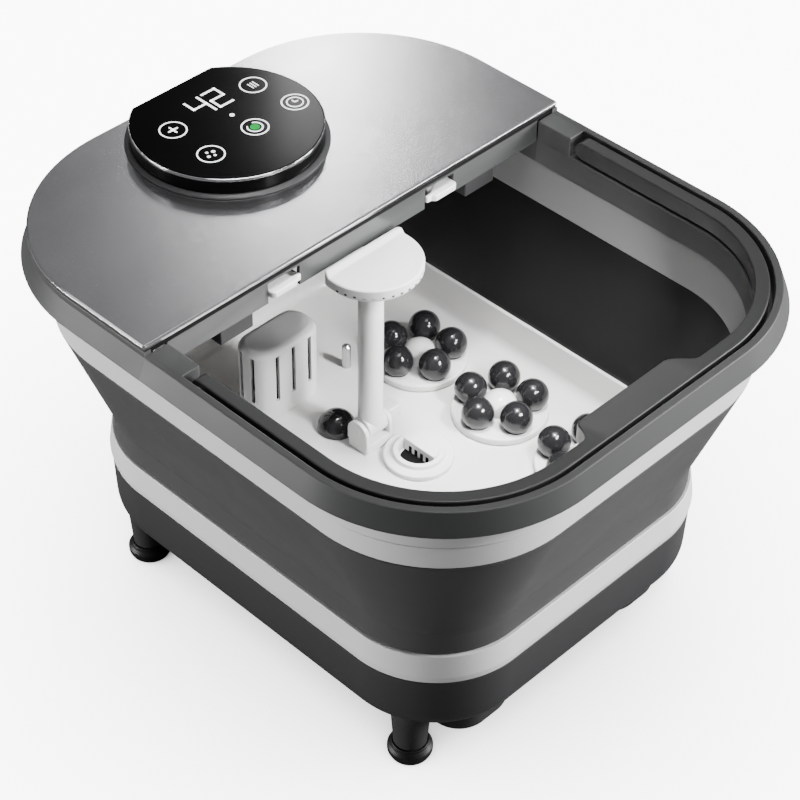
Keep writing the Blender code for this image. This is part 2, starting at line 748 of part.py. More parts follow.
def build_heater(parent):
    """Slotted housing on the floor with the heating element in it, and the sensor beside it."""
    bottom, top = FLOOR_Z + GAP, FLOOR_Z + HEATER_HEIGHT
    left = HEATER_X - HEATER_HALF_WIDTH
    middle = HEATER_FRONT_Y + HEATER_LENGTH / 2
    def loop(inset, z):
        return at(rounded(left + inset, HEATER_FRONT_Y + inset,
                          HEATER_X + HEATER_HALF_WIDTH - inset, HEATER_FRONT_Y + HEATER_LENGTH - inset,
                          HEATER_CORNER - inset, HEATER_CORNER - inset, steps=4), z)
    housing = make("heater_housing", loft([
        loop(HEATER_WALL + HEATER_TOP_CHAMFER, top - HEATER_WALL),
        loop(HEATER_WALL, top - HEATER_TOP_CHAMFER - HEATER_WALL),
        loop(HEATER_WALL, bottom),
        loop(0.0, bottom),
        loop(0.0, top - HEATER_TOP_CHAMFER),
        loop(HEATER_TOP_CHAMFER, top),
    ]), "white", parent=parent)
    slot_top = top - HEATER_TOP_CHAMFER - SLOT_TOP
    slots = []
    for i in range(SLOT_COUNT):
        x = HEATER_X + (i - (SLOT_COUNT - 1) / 2) * SLOT_PITCH
        slots.append(block((x - SLOT_WIDTH / 2, HEATER_FRONT_Y - HEATER_WALL, slot_top - SLOT_HEIGHT),
                           (x + SLOT_WIDTH / 2, HEATER_FRONT_Y + HEATER_WALL * 2, slot_top)))
    for y in (middle - SIDE_SLOT_PITCH / 2, middle + SIDE_SLOT_PITCH / 2):
        slots.append(block((left - HEATER_WALL, y - SLOT_WIDTH / 2, slot_top - SLOT_HEIGHT),
                           (left + HEATER_WALL * 2, y + SLOT_WIDTH / 2, slot_top)))
    cut(housing, *slots)

    path = bpy.data.curves.new("heater_element", "CURVE")
    path.dimensions = "3D"
    path.bevel_depth = ELEMENT_RADIUS
    path.bevel_resolution = 2
    path.use_fill_caps = True
    high = FLOOR_Z + ELEMENT_RISE
    points = [(-ELEMENT_SPAN / 2, FLOOR_Z + GAP)]
    for sign, start in ((-1, 180), (1, 90)):
        for degrees in (0, 30, 60, 90):
            angle = math.radians(start - degrees)
            points.append((sign * (ELEMENT_SPAN / 2 - ELEMENT_BEND) + ELEMENT_BEND * math.cos(angle),
                           high - ELEMENT_BEND + ELEMENT_BEND * math.sin(angle)))
    points.append((ELEMENT_SPAN / 2, FLOOR_Z + GAP))
    spline = path.splines.new("POLY")
    spline.points.add(len(points) - 1)
    for slot, (x, z) in zip(spline.points, points):
        slot.co = (HEATER_X + x, middle, z, 1.0)
    path.materials.append(finish("steel"))
    element = bpy.data.objects.new("heater_element", path)
    element.parent = parent
    bpy.context.scene.collection.objects.link(element)

    make("temperature_sensor", turned([
        (SENSOR_RADIUS * 0.5, FLOOR_Z + SENSOR_HEIGHT),
        (SENSOR_RADIUS, FLOOR_Z + SENSOR_HEIGHT - SENSOR_RADIUS * 0.5),
        (SENSOR_RADIUS, FLOOR_Z + GAP),
    ], 12, (SENSOR_X, SENSOR_Y)), "steel", parent=parent)


def build_shower(parent):
    """Riser with its cheeks and cross pin, and the post and head that fold forwards on it."""
    bottom = FLOOR_Z + GAP
    knuckle = POST_RADIUS
    riser_top = PIVOT_Z - knuckle - SLIDE
    inner = RISER_HALF_WIDTH - RISER_CHEEK
    riser = make("shower_riser", prism(rounded(
        SHOWER_X - RISER_HALF_WIDTH, SHOWER_Y - RISER_HALF_LENGTH,
        SHOWER_X + RISER_HALF_WIDTH, SHOWER_Y + RISER_HALF_LENGTH,
        RISER_CORNER, RISER_CORNER, steps=2), bottom, PIVOT_Z + RISER_TOP), "white", parent=parent)
    channel = block((SHOWER_X - inner, SHOWER_Y - RISER_HALF_LENGTH * 2, riser_top),
                    (SHOWER_X + inner, SHOWER_Y + RISER_HALF_LENGTH * 2, PIVOT_Z + RISER_TOP * 2))
    bore = rod_x(SHOWER_X - RISER_HALF_WIDTH * 2, SHOWER_X + RISER_HALF_WIDTH * 2, SHOWER_Y, PIVOT_Z,
                 SHOWER_PIN_RADIUS + RUN)
    cut(riser, channel, bore)

    pin_start = SHOWER_X - RISER_HALF_WIDTH
    pin_end = SHOWER_X + RISER_HALF_WIDTH + GAP
    pin = make("shower_pin", rod_x(pin_start, pin_end + PIN_LEVER / 2, SHOWER_Y, PIVOT_Z,
                                   SHOWER_PIN_RADIUS), "white", parent=parent)
    lever = SHOWER_PIN_RADIUS * 1.5
    join(pin, block((pin_end, SHOWER_Y - lever, PIVOT_Z - lever),
                    (pin_end + PIN_LEVER, SHOWER_Y + lever, PIVOT_Z + lever)))

    pivot = (SHOWER_X, SHOWER_Y, PIVOT_Z)
    post_top = PIVOT_Z + POST_LENGTH
    centre = (SHOWER_X, SHOWER_Y)
    post = make("shower_post", turned([
        (POST_BORE, PIVOT_Z + POST_BORE_END),
        (POST_BORE, post_top),
        (POST_RADIUS, post_top),
        (POST_RADIUS, PIVOT_Z),
    ], 16, centre), "white", pivot, parent)
    half = inner - SLIDE
    join(post, rod_x(-half, half, 0.0, 0.0, knuckle))
    cut(post, rod_x(-half * 2, half * 2, 0.0, 0.0, SHOWER_PIN_RADIUS + RUN))

    head_bottom = post_top + GAP
    head_top = head_bottom + HEAD_HEIGHT
    def loop(inset, z):
        front = HEAD_HALF_WIDTH - inset - GAP
        back = max(HEAD_BACK_CORNER - inset, HEAD_BACK_CORNER * 0.2)
        return at(rounded(SHOWER_X - HEAD_HALF_WIDTH + inset, SHOWER_Y - HEAD_FRONT + inset,
                          SHOWER_X + HEAD_HALF_WIDTH - inset, SHOWER_Y + HEAD_BACK - inset,
                          front, back, steps=7), z)
    make("shower_head", loft([
        loop(HEAD_EDGE * 0.6, head_bottom),
        loop(0.0, head_bottom + HEAD_HEIGHT * 0.25),
        loop(0.0, head_bottom + HEAD_HEIGHT * 0.60),
        loop(HEAD_EDGE * 0.3, head_bottom + HEAD_HEIGHT * 0.88),
        loop(HEAD_EDGE, head_top),
    ]), "white", pivot, parent)


def build_pump(parent):
    """Pump under the floor, its motor and outlet pipe, the impeller and the filter cap."""
    centre = (PUMP_X, PUMP_Y)
    top = UNDER_FLOOR - GAP
    bottom = top - PUMP_DEPTH
    inner = PUMP_RADIUS - PUMP_WALL
    shaft_hole = PUMP_SHAFT_RADIUS + RUN
    make("pump_body", turned([
        (inner, top),
        (PUMP_RADIUS, top),
        (PUMP_RADIUS, bottom),
        (shaft_hole, bottom),
        (shaft_hole, bottom + PUMP_FLOOR),
        (inner, bottom + PUMP_FLOOR),
    ], 20, centre, closed=True), "pale_grey", parent=parent)

    motor_top = bottom - GAP
    motor_bottom = BASE_BOTTOM + BASE_WALL + GAP
    make("pump_motor", turned([
        (shaft_hole, motor_top - PUMP_SHAFT_TAIL),
        (shaft_hole, motor_top),
        (PUMP_MOTOR_RADIUS, motor_top),
        (PUMP_MOTOR_RADIUS, motor_bottom),
    ], 18, centre), "steel", parent=parent)

    blade_low = bottom + PUMP_FLOOR + IMPELLER_LIFT
    outline = []
    for i in range(BLADES):
        for radius, share in ((IMPELLER_HUB, -0.30), (IMPELLER_RADIUS, -0.08),
                              (IMPELLER_RADIUS, 0.08), (IMPELLER_HUB, 0.30)):
            angle = 2 * math.pi * (i + share) / BLADES
            outline.append((PUMP_X + radius * math.cos(angle), PUMP_Y + radius * math.sin(angle)))
    pivot = (PUMP_X, PUMP_Y, blade_low)
    impeller = make("impeller", prism(outline, blade_low, blade_low + IMPELLER_HEIGHT), "charcoal", pivot, parent)
    tail = motor_top - PUMP_SHAFT_TAIL + IMPELLER_LIFT
    join(impeller, turned([(PUMP_SHAFT_RADIUS, tail - blade_low), (PUMP_SHAFT_RADIUS, IMPELLER_HEIGHT / 2)], 12))

    cap_low, cap_high = FLOOR_Z + GAP, FLOOR_Z + GAP + CAP_FLANGE
    cap = make("filter_cap", turned([
        (CAP_RECESS_RADIUS, cap_high + CAP_LIP - CAP_RECESS),
        (CAP_RECESS_RADIUS, cap_high + CAP_LIP),
        (CAP_BODY_RADIUS, cap_high + CAP_LIP),
        (CAP_BODY_RADIUS, cap_high),
        (CAP_RADIUS, cap_high),
        (CAP_RADIUS, cap_low),
        (CAP_BODY_RADIUS, cap_low),
        (CAP_BODY_RADIUS, cap_low - CAP_BODY_DEPTH),
    ], 24, centre), "white", (PUMP_X, PUMP_Y, cap_low), parent)
    grip = [(0.0, CAP_RECESS_RADIUS * 1.1)]
    grip += [(x, y) for x, y in reversed(circle(0, 0, CAP_RECESS_RADIUS * 1.1, 24)) if x > GAP]
    grip = sorted(grip + [(0.0, -CAP_RECESS_RADIUS * 1.1)], key=lambda p: math.atan2(p[1], p[0]))
    grip_top = CAP_FLANGE + CAP_LIP - GAP
    join(cap, prism(grip, grip_top - CAP_GRIP, grip_top))

    pipe_z = UNDER_FLOOR - PIPE_BELOW_FLOOR
    reach = Vector((SHOWER_X - PUMP_X, SHOWER_Y - PUMP_Y, 0.0))
    away = reach.normalized()
    start = Vector((PUMP_X, PUMP_Y, pipe_z)) + away * (PUMP_RADIUS + GAP)
    corner = Vector((SHOWER_X, SHOWER_Y, pipe_z))
    radius = min(PIPE_RADIUS * 2, (corner - start).length * 0.8)
    points = [start]
    for degrees in (0, 30, 60, 90):
        angle = math.radians(degrees)
        points.append(corner - away * radius * (1 - math.sin(angle)) + Vector((0, 0, radius * (1 - math.cos(angle)))))
    points.append(Vector((SHOWER_X, SHOWER_Y, FLOOR_Z)))
    side = Vector((-away.y, away.x, 0.0))
    loops = []
    for i, point in enumerate(points):
        before, after = points[max(i - 1, 0)], points[min(i + 1, len(points) - 1)]
        along = (after - before).normalized()
        up = along.cross(side)
        loops.append([point + side * dx + up * dy for dx, dy in circle(0, 0, PIPE_RADIUS, 12)])
    make("outlet_pipe", loft(loops), "pale_grey", parent=parent)


def build_wall(parent):
    """Soft wall: an upright foot round the tray, a crease, then a cone that flares to the ring."""
    foot = WALL_FOOT_INSET
    make("soft_wall", ring([
        (foot, WALL_BOTTOM),
        (foot, CREASE_Z),
        (WALL_TOP_INSET, WALL_TOP),
        (WALL_TOP_INSET + WALL_THICK, WALL_TOP),
        (foot + WALL_THICK, CREASE_Z + WALL_THICK * 0.5),
        (foot + WALL_THICK, WALL_BOTTOM),
    ]), "soft_charcoal", parent=parent)


def build_rim(parent):
    """Upper ring, rim, carry handle and its pins."""
    bottom_out = WALL_TOP_INSET
    shoulder_out = bottom_out - RING_LOWER_DRAFT
    upper_out = shoulder_out - RING_STEP
    drop_outer = SEAT_INNER - RIM_WALL
    drop_bottom = SEAT_UNDER - RIM_DROP
    make("upper_ring", ring([
        (bottom_out, RING_BOTTOM),
        (shoulder_out, RING_SHOULDER),
        (upper_out, RING_SHOULDER + RING_STEP_RISE),
        (upper_out - RING_UPPER_DRAFT, RING_TOP),
        (drop_outer - GAP, RING_TOP),
        (drop_outer - GAP, drop_bottom - GAP),
        (SEAT_INNER, drop_bottom - GAP),
        (RING_HOOK_INNER, RING_BOTTOM - RING_HOOK),
        (RING_HOOK_OUTER, RING_BOTTOM - RING_HOOK),
        (RING_HOOK_ROOT, RING_BOTTOM),
    ]), "white", parent=parent)

    skirt_bottom = RIM_TOP - SKIRT_DEPTH
    rim = make("rim", ring([
        (-SKIRT_REACH, skirt_bottom),
        (RIM_EDGE, RIM_TOP - RIM_CHAMFER),
        (RIM_EDGE + RIM_CHAMFER, RIM_TOP),
        (LEDGE_INNER, RIM_TOP),
        (LEDGE_INNER, SEAT_Z),
        (SEAT_INNER, SEAT_Z),
        (SEAT_INNER, drop_bottom),
        (drop_outer, drop_bottom),
        (drop_outer, SEAT_UNDER),
        (LEDGE_INNER - RIM_WALL, SEAT_UNDER),
        (LEDGE_INNER - RIM_WALL, RIM_TOP - RIM_WALL),
        (RIM_WALL - SKIRT_REACH, skirt_bottom),
    ]), "charcoal", parent=parent)
    pad_start = HANDLE_PIVOT_Y + HANDLE_END + PAD_CLEARANCE
    pads = []
    for _, sign in SIDES:
        xs = sorted((sign * (HALF_WIDTH - SEAT_INNER + GAP), sign * (HALF_WIDTH - LEDGE_INNER + RIM_WALL / 2)))
        pads.append(block((xs[0], pad_start, SEAT_UNDER + RIM_WALL / 2),
                          (xs[1], COVER_FRONT_Y + COVER_CORNER, RIM_TOP - GAP)))
    join(rim, *pads)
    pin_bore = PIN_RADIUS + RUN
    pin_out = HALF_WIDTH - LEDGE_INNER + PIN_IN_RIM
    pin_in = HALF_WIDTH - HANDLE_OUTER - PIN_IN_HANDLE
    between = HALF_WIDTH - LEDGE_INNER - HANDLE_SIDE_GAP / 2
    pivot = Vector((0.0, HANDLE_PIVOT_Y, HANDLE_PIVOT_Z))
    handle = make("carry_handle", loft(handle_loops()), "charcoal", pivot, parent)
    for side, sign in SIDES:
        cut(rim, rod_x(sign * (pin_out + GAP), sign * between, *pivot.yz, pin_bore))
        cut(handle, rod_x(sign * between, sign * (pin_in - GAP), 0.0, 0.0, pin_bore))
        make(f"handle_pin_{side}", rod_x(sign * pin_out, sign * pin_in, *pivot.yz, PIN_RADIUS), "steel",
             parent=parent)


def handle_loops():
    """Cross-sections of the carry handle from its left end, round the front, to its right end."""
    def section(outer, inner, half_height):
        low, high = HANDLE_PIVOT_Z - half_height, HANDLE_PIVOT_Z + half_height
        bevel = min(HANDLE_CHAMFER, half_height * 0.4)
        outer, inner = Vector(outer), Vector(inner)
        across = (inner - outer).normalized() * bevel
        flat = [(outer, low), (outer, high - bevel), (outer + across, high),
                (inner - across, high), (inner, high - bevel), (inner, low)]
        return [Vector((point.x, point.y, z)) for point, z in flat]

    stations = []
    for degrees in (80, 60, 30, 0):
        angle = math.radians(degrees)
        y = HANDLE_PIVOT_Y + HANDLE_END * math.sin(angle)
        ends = (HANDLE_OUTER - HALF_WIDTH, y), (HANDLE_INNER - HALF_WIDTH, y)
        stations.append((*ends, HANDLE_END * math.cos(angle)))
    centre = Vector((FRONT_RADIUS - HALF_WIDTH, FRONT_RADIUS - HALF_LENGTH))
    for step in range(CORNER_STEPS + 1):
        angle = math.pi + math.pi / 2 * step / CORNER_STEPS
        away = Vector((math.cos(angle), math.sin(angle)))
        stations.append((centre + away * (FRONT_RADIUS - HANDLE_OUTER),
                         centre + away * (FRONT_RADIUS - HANDLE_INNER), HANDLE_END))
    outer_y, inner_y = HANDLE_OUTER - HALF_LENGTH, HANDLE_INNER - HALF_LENGTH
    stations.append(((-GRIP_BASE / 2, outer_y), (-GRIP_BASE / 2, inner_y), HANDLE_END))
    stations.append(((-GRIP_EDGE / 2, outer_y), (-GRIP_EDGE / 2, inner_y + GRIP_REACH), HANDLE_END))
    loops = [section(*station) for station in stations]
    mirror = Matrix.Scale(-1, 4, (1, 0, 0))
    return loops + [[mirror @ point for point in loop] for loop in reversed(loops)]


def build_cover(parent):
    """Cover frame with the front face and catches, the silver cover plate and the latches."""
    frame_top = FRAME_BOTTOM + FRAME_HEIGHT
    inner = RIM_EDGE + FRAME_WALL
    frame = make("cover_frame", loft([
        at(cover_outline(RIM_EDGE, FACE_SETBACK), FRAME_BOTTOM),
        at(cover_outline(RIM_EDGE, FACE_SETBACK), frame_top),
        at(cover_outline(inner, FACE_SETBACK + FRAME_WALL), frame_top),
        at(cover_outline(inner, FACE_SETBACK + FRAME_WALL), FRAME_BOTTOM),
    ], closed=True), "charcoal", parent=parent)
    face_y = COVER_FRONT_Y + FACE_SETBACK + GAP
    face_back = face_y + FACE_THICK
    face_x = HALF_WIDTH - SEAT_INNER - FACE_SIDE_GAP
    face_low = frame_top - FACE_DEPTH
    parts = [block((-face_x, face_y, face_low), (face_x, face_back, frame_top - GAP))]
    for _, sign in SIDES:
        x = sign * CATCH_X
        parts.append(block((x - CATCH_WIDTH / 2, face_y + GAP, face_low - CATCH_DROP),
                           (x + CATCH_WIDTH / 2, face_y + CATCH_DEPTH, face_low + FACE_THICK)))
    join(frame, *parts)
    latch_high = frame_top - LATCH_BELOW_PLATE
    latch_low = latch_high - LATCH_THICK
    half = LATCH_WIDTH / 2
    notches, shelves = [], []
    shelf_half = half + SLIDE + LATCH_STOP
    for _, sign in SIDES:
        x = sign * LATCH_X
        notches.append(block((x - half - SLIDE, COVER_FRONT_Y - FACE_THICK, face_low - FACE_THICK),
                             (x + half + SLIDE, face_back + GAP, latch_high + LATCH_HEADROOM)))
        shelves.append(block((x - shelf_half, face_back - FACE_THICK / 2, latch_low - SLIDE - LATCH_SHELF),
                             (x + shelf_half, face_back + LATCH_SHELF_LENGTH, latch_low - SLIDE)))
    cut(frame, *notches)
    join(frame, *shelves)

    make("top_cover", loft([
        at(cover_outline(RIM_EDGE), PLATE_BOTTOM),
        at(cover_outline(RIM_EDGE), COVER_TOP - COVER_CHAMFER),
        at(cover_outline(RIM_EDGE + COVER_CHAMFER, COVER_CHAMFER), COVER_TOP),
    ]), "silver", parent=parent)

    stop_y = face_back + GAP
    for side, sign in SIDES:
        x = sign * LATCH_X
        front = face_y - LATCH_REACH
        tongue = prism(rounded(x - half, front, x + half, stop_y + LATCH_TAIL, half * 0.4, half * 0.1, steps=3),
                       latch_low, latch_high)
        latch = make(f"latch_{side}", tongue, "white", (x, face_y, latch_low), parent)
        join(latch, block((-half - LATCH_STOP, stop_y - face_y, GAP),
                          (half + LATCH_STOP, stop_y - face_y + LATCH_STOP, LATCH_THICK - GAP)))


def build_panel(parent):
    """Touch panel: housing on the cover, the touch board and the glass."""
    top = HOUSING_BOTTOM + PANEL_HOUSING
    board_low = top - BOARD_THICK
    make("panel_housing", loft([
        at(panel_outline(PANEL_WALL), HOUSING_BOTTOM + PANEL_WALL),
        at(panel_outline(PANEL_WALL), top),
        at(panel_outline(0.0), top),
        at(panel_outline(0.0), HOUSING_BOTTOM + PANEL_HOUSING * 0.4),
        at(panel_outline(-PANEL_FLARE), HOUSING_BOTTOM),
    ]), "black_gloss", parent=parent)
    make("touch_board", prism(panel_outline(PANEL_WALL + SLIDE), board_low, top), "board_green", parent=parent)
    make("panel_glass", loft([
        at(panel_outline(0.0), GLASS_BOTTOM),
        at(panel_outline(0.0), GLASS_BOTTOM + GLASS_THICK * 0.6),
        at(panel_outline(GLASS_THICK * 0.4), GLASS_BOTTOM + GLASS_THICK),
    ]), "black_gloss", parent=parent)


def build_control_box(parent):
    """Electronics box that hangs under the cover plate, with the main board in it."""
    top = PLATE_BOTTOM - GAP
    bottom = top - BOX_DEPTH
    back = BOX_FRONT_Y + BOX_LENGTH
    def loop(inset, z):
        return at(rounded(-BOX_HALF_WIDTH + inset, BOX_FRONT_Y + inset, BOX_HALF_WIDTH - inset, back - inset,
                          BOX_CORNER - inset, BOX_CORNER - inset, steps=3), z)
    make("control_box", loft([
        loop(BOX_WALL, bottom + BOX_WALL),
        loop(BOX_WALL, top),
        loop(0.0, top),
        loop(0.0, bottom),
    ]), "charcoal", parent=parent)
    low = bottom + BOX_WALL + GAP
    edge = BOX_WALL + BOX_CORNER
    board = make("main_board", block((-BOX_HALF_WIDTH + edge, BOX_FRONT_Y + edge, low),
                                     (BOX_HALF_WIDTH - edge, back - edge, low + BOARD_THICK)),
                 "board_green", parent=parent)
    height = BOX_DEPTH * 0.45
    middle = BOX_FRONT_Y + BOX_LENGTH / 2
    parts = []
    for share, size in ((-0.55, 0.16), (0.05, 0.10), (0.55, 0.13)):
        x, half = share * BOX_HALF_WIDTH, size * BOX_HALF_WIDTH
        parts.append(block((x - half, middle - half, low + GAP), (x + half, middle + half, low + height)))
    join(board, *parts)


def main():
    """Build every sub-assembly."""
    clear_scene()
    base = group("base_group")
    upper = group("rim_group")
    for build in (build_base, build_floor, build_rollers, build_motors, build_heater, build_shower,
                  build_pump, build_wall):
        build(base)
    for build in (build_rim, build_cover, build_panel, build_control_box):
        build(upper)


main()
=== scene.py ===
"""Dressed model of a collapsible foot spa basin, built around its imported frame.

Every surface is worked out with numpy: a profile carried round an outline, a profile turned about an
axis, or a section carried along a path.  Metres, +Z up; the open end faces -Y, the covered end +Y.
"""
from __future__ import annotations

import json
import logging
import math
from dataclasses import dataclass, field
from enum import Enum
from typing import Any, Iterable, Sequence

import bpy
import numpy as np
from mathutils import Matrix, Vector

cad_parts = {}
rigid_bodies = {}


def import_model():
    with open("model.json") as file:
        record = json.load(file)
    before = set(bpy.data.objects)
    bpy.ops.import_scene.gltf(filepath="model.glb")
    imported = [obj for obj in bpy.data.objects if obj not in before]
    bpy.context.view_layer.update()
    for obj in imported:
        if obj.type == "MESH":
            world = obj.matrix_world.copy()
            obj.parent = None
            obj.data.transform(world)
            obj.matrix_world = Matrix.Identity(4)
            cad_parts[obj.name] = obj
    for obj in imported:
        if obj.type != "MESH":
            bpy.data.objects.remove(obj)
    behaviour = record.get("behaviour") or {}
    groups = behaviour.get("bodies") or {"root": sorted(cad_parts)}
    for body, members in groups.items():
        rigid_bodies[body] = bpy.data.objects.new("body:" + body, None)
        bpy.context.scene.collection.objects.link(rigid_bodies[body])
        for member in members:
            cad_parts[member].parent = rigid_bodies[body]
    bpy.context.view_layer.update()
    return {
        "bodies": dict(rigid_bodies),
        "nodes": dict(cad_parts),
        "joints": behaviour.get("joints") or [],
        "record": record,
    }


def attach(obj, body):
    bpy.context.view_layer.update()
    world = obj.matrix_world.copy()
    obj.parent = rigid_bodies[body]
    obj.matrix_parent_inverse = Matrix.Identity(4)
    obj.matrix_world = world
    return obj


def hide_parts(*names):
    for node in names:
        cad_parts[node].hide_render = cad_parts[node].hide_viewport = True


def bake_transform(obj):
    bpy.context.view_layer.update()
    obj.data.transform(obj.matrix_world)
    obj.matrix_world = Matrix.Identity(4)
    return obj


LOG = logging.getLogger("foot_spa")
Array = np.ndarray
Point = tuple[float, float, float]
Profile = Sequence[tuple[float, float]]
Socket = bpy.types.NodeSocket
SIDES = (("left", -1.0), ("right", 1.0))
ROWS = ("back", "middle", "front")
SMOOTH_ANGLE = math.radians(38)

# Shared places: the height at which pieces stand on the tray, and where on it they stand.
ON_FLOOR = 0.0903
PUMP_AT = (0.0067, -0.0130)
DRAIN_AT = (-0.0104, 0.0417)
SHOWER_AT = (-0.0045, 0.0180)


class Body(str, Enum):
    """Rigid bodies of the frame that pieces ride on."""

    BASE = "base"
    UPPER = "upper"
    HANDLE = "handle"
    SHOWER = "shower"
    FILTER = "filter"
    PLUG = "plug"


# Node groups


class Graph:
    """Small helper that adds nodes to a tree and links them by socket name."""

    def __init__(self, tree: bpy.types.NodeTree) -> None:
        """Keep the tree that nodes are added to."""
        self.tree = tree

    def add(self, kind: str, inputs: dict[str | int, Any] | None = None, **settings: Any) -> bpy.types.Node:
        """Add a node, set its options, then fill its inputs.

        Args:
            kind: Blender's name of the node type.
            inputs: socket name or number to a value or to another node's output.
            settings: options of the node itself.

        Returns:
            The new node.
        """
        node = self.tree.nodes.new(kind)
        for name, value in settings.items():
            setattr(node, name, value)
        for key, value in (inputs or {}).items():
            socket = node.inputs[key]
            if isinstance(value, Socket):
                self.tree.links.new(value, socket)
            else:
                socket.default_value = value
        return node

    def maths(self, operation: str, *values: Any) -> Socket:
        """Add a Math node and return its result."""
        return self.add("ShaderNodeMath", dict(enumerate(values)), operation=operation).outputs[0]

    def centred(self, value: Socket, amount: Socket) -> Socket:
        """Return amount * (2 * value - 1), for a value of 0 to 1."""
        swing = self.maths("MULTIPLY", self.maths("SUBTRACT", value, 0.5), 2.0)
        return self.maths("MULTIPLY", swing, amount)

    def varied(self, colour: Socket, value: Socket, amount: Socket) -> Socket:
        """Return colour * (1 + amount * (2 * value - 1))."""
        factor = self.maths("ADD", self.centred(value, amount), 1.0)
        return self.add("ShaderNodeVectorMath", {0: colour, "Scale": factor}, operation="SCALE").outputs[0]


@dataclass(frozen=True)
class Effect:
    """A shader node group with named sockets, built on first use."""

    name: str
    inputs: tuple[tuple[str, str], ...]
    output: tuple[str, str]

    def tree(self) -> bpy.types.NodeTree:
        """Build the group, or find it if it is there.

        Returns:
            The group's node tree.
        """
        found = bpy.data.node_groups.get(self.name)
        if found:
            return found
        made = bpy.data.node_groups.new(self.name, "ShaderNodeTree")
        for label, kind in self.inputs:
            made.interface.new_socket(name=label, in_out="INPUT", socket_type=kind)
        label, kind = self.output
        made.interface.new_socket(name=label, in_out="OUTPUT", socket_type=kind)
        graph = Graph(made)
        source = graph.add("NodeGroupInput").outputs
        graph.add("NodeGroupOutput", {label: self.wire(graph, source)})
        return made

    def wire(self, graph: Graph, source: bpy.types.bpy_prop_collection) -> Socket:
        """Build the inside of the group; each effect has its own."""
        raise NotImplementedError

    def use(self, graph: Graph, **inputs: Any) -> Socket:
        """Place the group in a material and return its output."""
        return graph.add("ShaderNodeGroup", inputs, node_tree=self.tree()).outputs[0]


class ToneDrift(Effect):
    """Slow change of brightness over a moulded surface: colour times 1 plus or minus an amount."""

    def wire(self, graph: Graph, source: bpy.types.bpy_prop_collection) -> Socket:
        """Scale the colour by noise that is centred on one."""
        noise = graph.add("ShaderNodeTexNoise", {
            "Vector": source["Vector"], "Scale": source["Scale"], "Detail": 4.0})
        return graph.varied(source["Colour"], noise.outputs[0], source["Amount"])


class EdgeWearAndHighlight(Effect):
    """Lighter colour on sharp convex edges: partly wear where edges are handled, partly a painted highlight
    along them. The share of it rises with the surface's pointiness.
    """

    def wire(self, graph: Graph, source: bpy.types.bpy_prop_collection) -> Socket:
        """Mix the colour towards a lighter one on sharp convex edges.

        Args:
            graph: the group's own graph.
            source: the group's inputs, by name.

        Returns:
            The group's output.
        """
        mask = graph.add("ShaderNodeMapRange", {
            "Value": source["Pointiness"], "From Min": 0.515, "From Max": 0.62, "To Min": 0.0, "To Max": 1.0})
        share = graph.maths("MULTIPLY", mask.outputs[0], source["Amount"])
        plain = source["Colour"]
        # The lift below is partly wear and partly a painted edge highlight.
        lift = graph.add("ShaderNodeVectorMath", {0: plain, 1: (0.20, 0.20, 0.20)}, operation="ADD")
        mixed = graph.add("ShaderNodeMix", {0: share, 6: plain, 7: lift.outputs[0]}, data_type="RGBA")
        return mixed.outputs[2]


class Smudge(Effect):
    """Uneven polish: roughness plus or minus an amount that follows cloudy noise."""

    def wire(self, graph: Graph, source: bpy.types.bpy_prop_collection) -> Socket:
        """Add centred noise to the roughness.

        Args:
            graph: the group's own graph.
            source: the group's inputs, by name.

        Returns:
            The group's output.
        """
        broad = graph.add("ShaderNodeTexNoise", {
            "Vector": source["Vector"], "Scale": source["Scale"], "Detail": 5.0, "Distortion": 0.6})
        swing = graph.centred(broad.outputs[0], source["Amount"])
        shifted = graph.maths("ADD", source["Roughness"], swing)
        return graph.maths("MINIMUM", graph.maths("MAXIMUM", shifted, 0.02), 1.0)


class MouldedGrain(Effect):
    """Fine spark-eroded texture: noise with a pebble of Voronoi cells."""

    def wire(self, graph: Graph, source: bpy.types.bpy_prop_collection) -> Socket:
        """Mix a fine noise with smooth cells.

        Args:
            graph: the group's own graph.
            source: the group's inputs, by name.

        Returns:
            The group's output.
        """
        fine = graph.add("ShaderNodeTexNoise", {
            "Vector": source["Vector"], "Scale": source["Scale"], "Detail": 3.0})
        half = graph.maths("MULTIPLY", source["Scale"], 0.55)
        cells = graph.add("ShaderNodeTexVoronoi", {
            "Vector": source["Vector"], "Scale": half, "Smoothness": 0.6}, feature="SMOOTH_F1")
        return graph.maths("ADD", graph.maths("MULTIPLY", fine.outputs[0], 0.65),
                           graph.maths("MULTIPLY", cells.outputs[0], 0.35))


class MetalFlake(Effect):
    """Flakes in a silver lacquer: each small cell has a brightness of its own."""

    def wire(self, graph: Graph, source: bpy.types.bpy_prop_collection) -> Socket:
        """Scale the colour by a brightness for each Voronoi cell.

        Args:
            graph: the group's own graph.
            source: the group's inputs, by name.

        Returns:
            The group's output.
        """
        cells = graph.add("ShaderNodeTexVoronoi", {"Vector": source["Vector"], "Scale": source["Scale"]})
        split = graph.add("ShaderNodeSeparateColor", {0: cells.outputs["Color"]})
        return graph.varied(source["Colour"], split.outputs[0], source["Amount"])


VECTOR, NUMBER, COLOUR = "NodeSocketVector", "NodeSocketFloat", "NodeSocketColor"
PLACE, TONE, AMOUNT, SCALE = ("Vector", VECTOR), ("Colour", COLOUR), ("Amount", NUMBER), ("Scale", NUMBER)
POLISH, HEIGHT = ("Roughness", NUMBER), ("Height", NUMBER)
TONE_DRIFT = ToneDrift("tone_drift", (PLACE, TONE, AMOUNT, SCALE), TONE)
EDGE_WEAR_AND_HIGHLIGHT = EdgeWearAndHighlight("edge_wear_and_painted_highlight", (TONE, ("Pointiness", NUMBER), AMOUNT), TONE)
SMUDGE = Smudge("smudge", (PLACE, POLISH, AMOUNT, SCALE), POLISH)
MOULDED_GRAIN = MouldedGrain("moulded_grain", (PLACE, SCALE), HEIGHT)
METAL_FLAKE = MetalFlake("metal_flake", (PLACE, TONE, SCALE, AMOUNT), TONE)


# Finishes


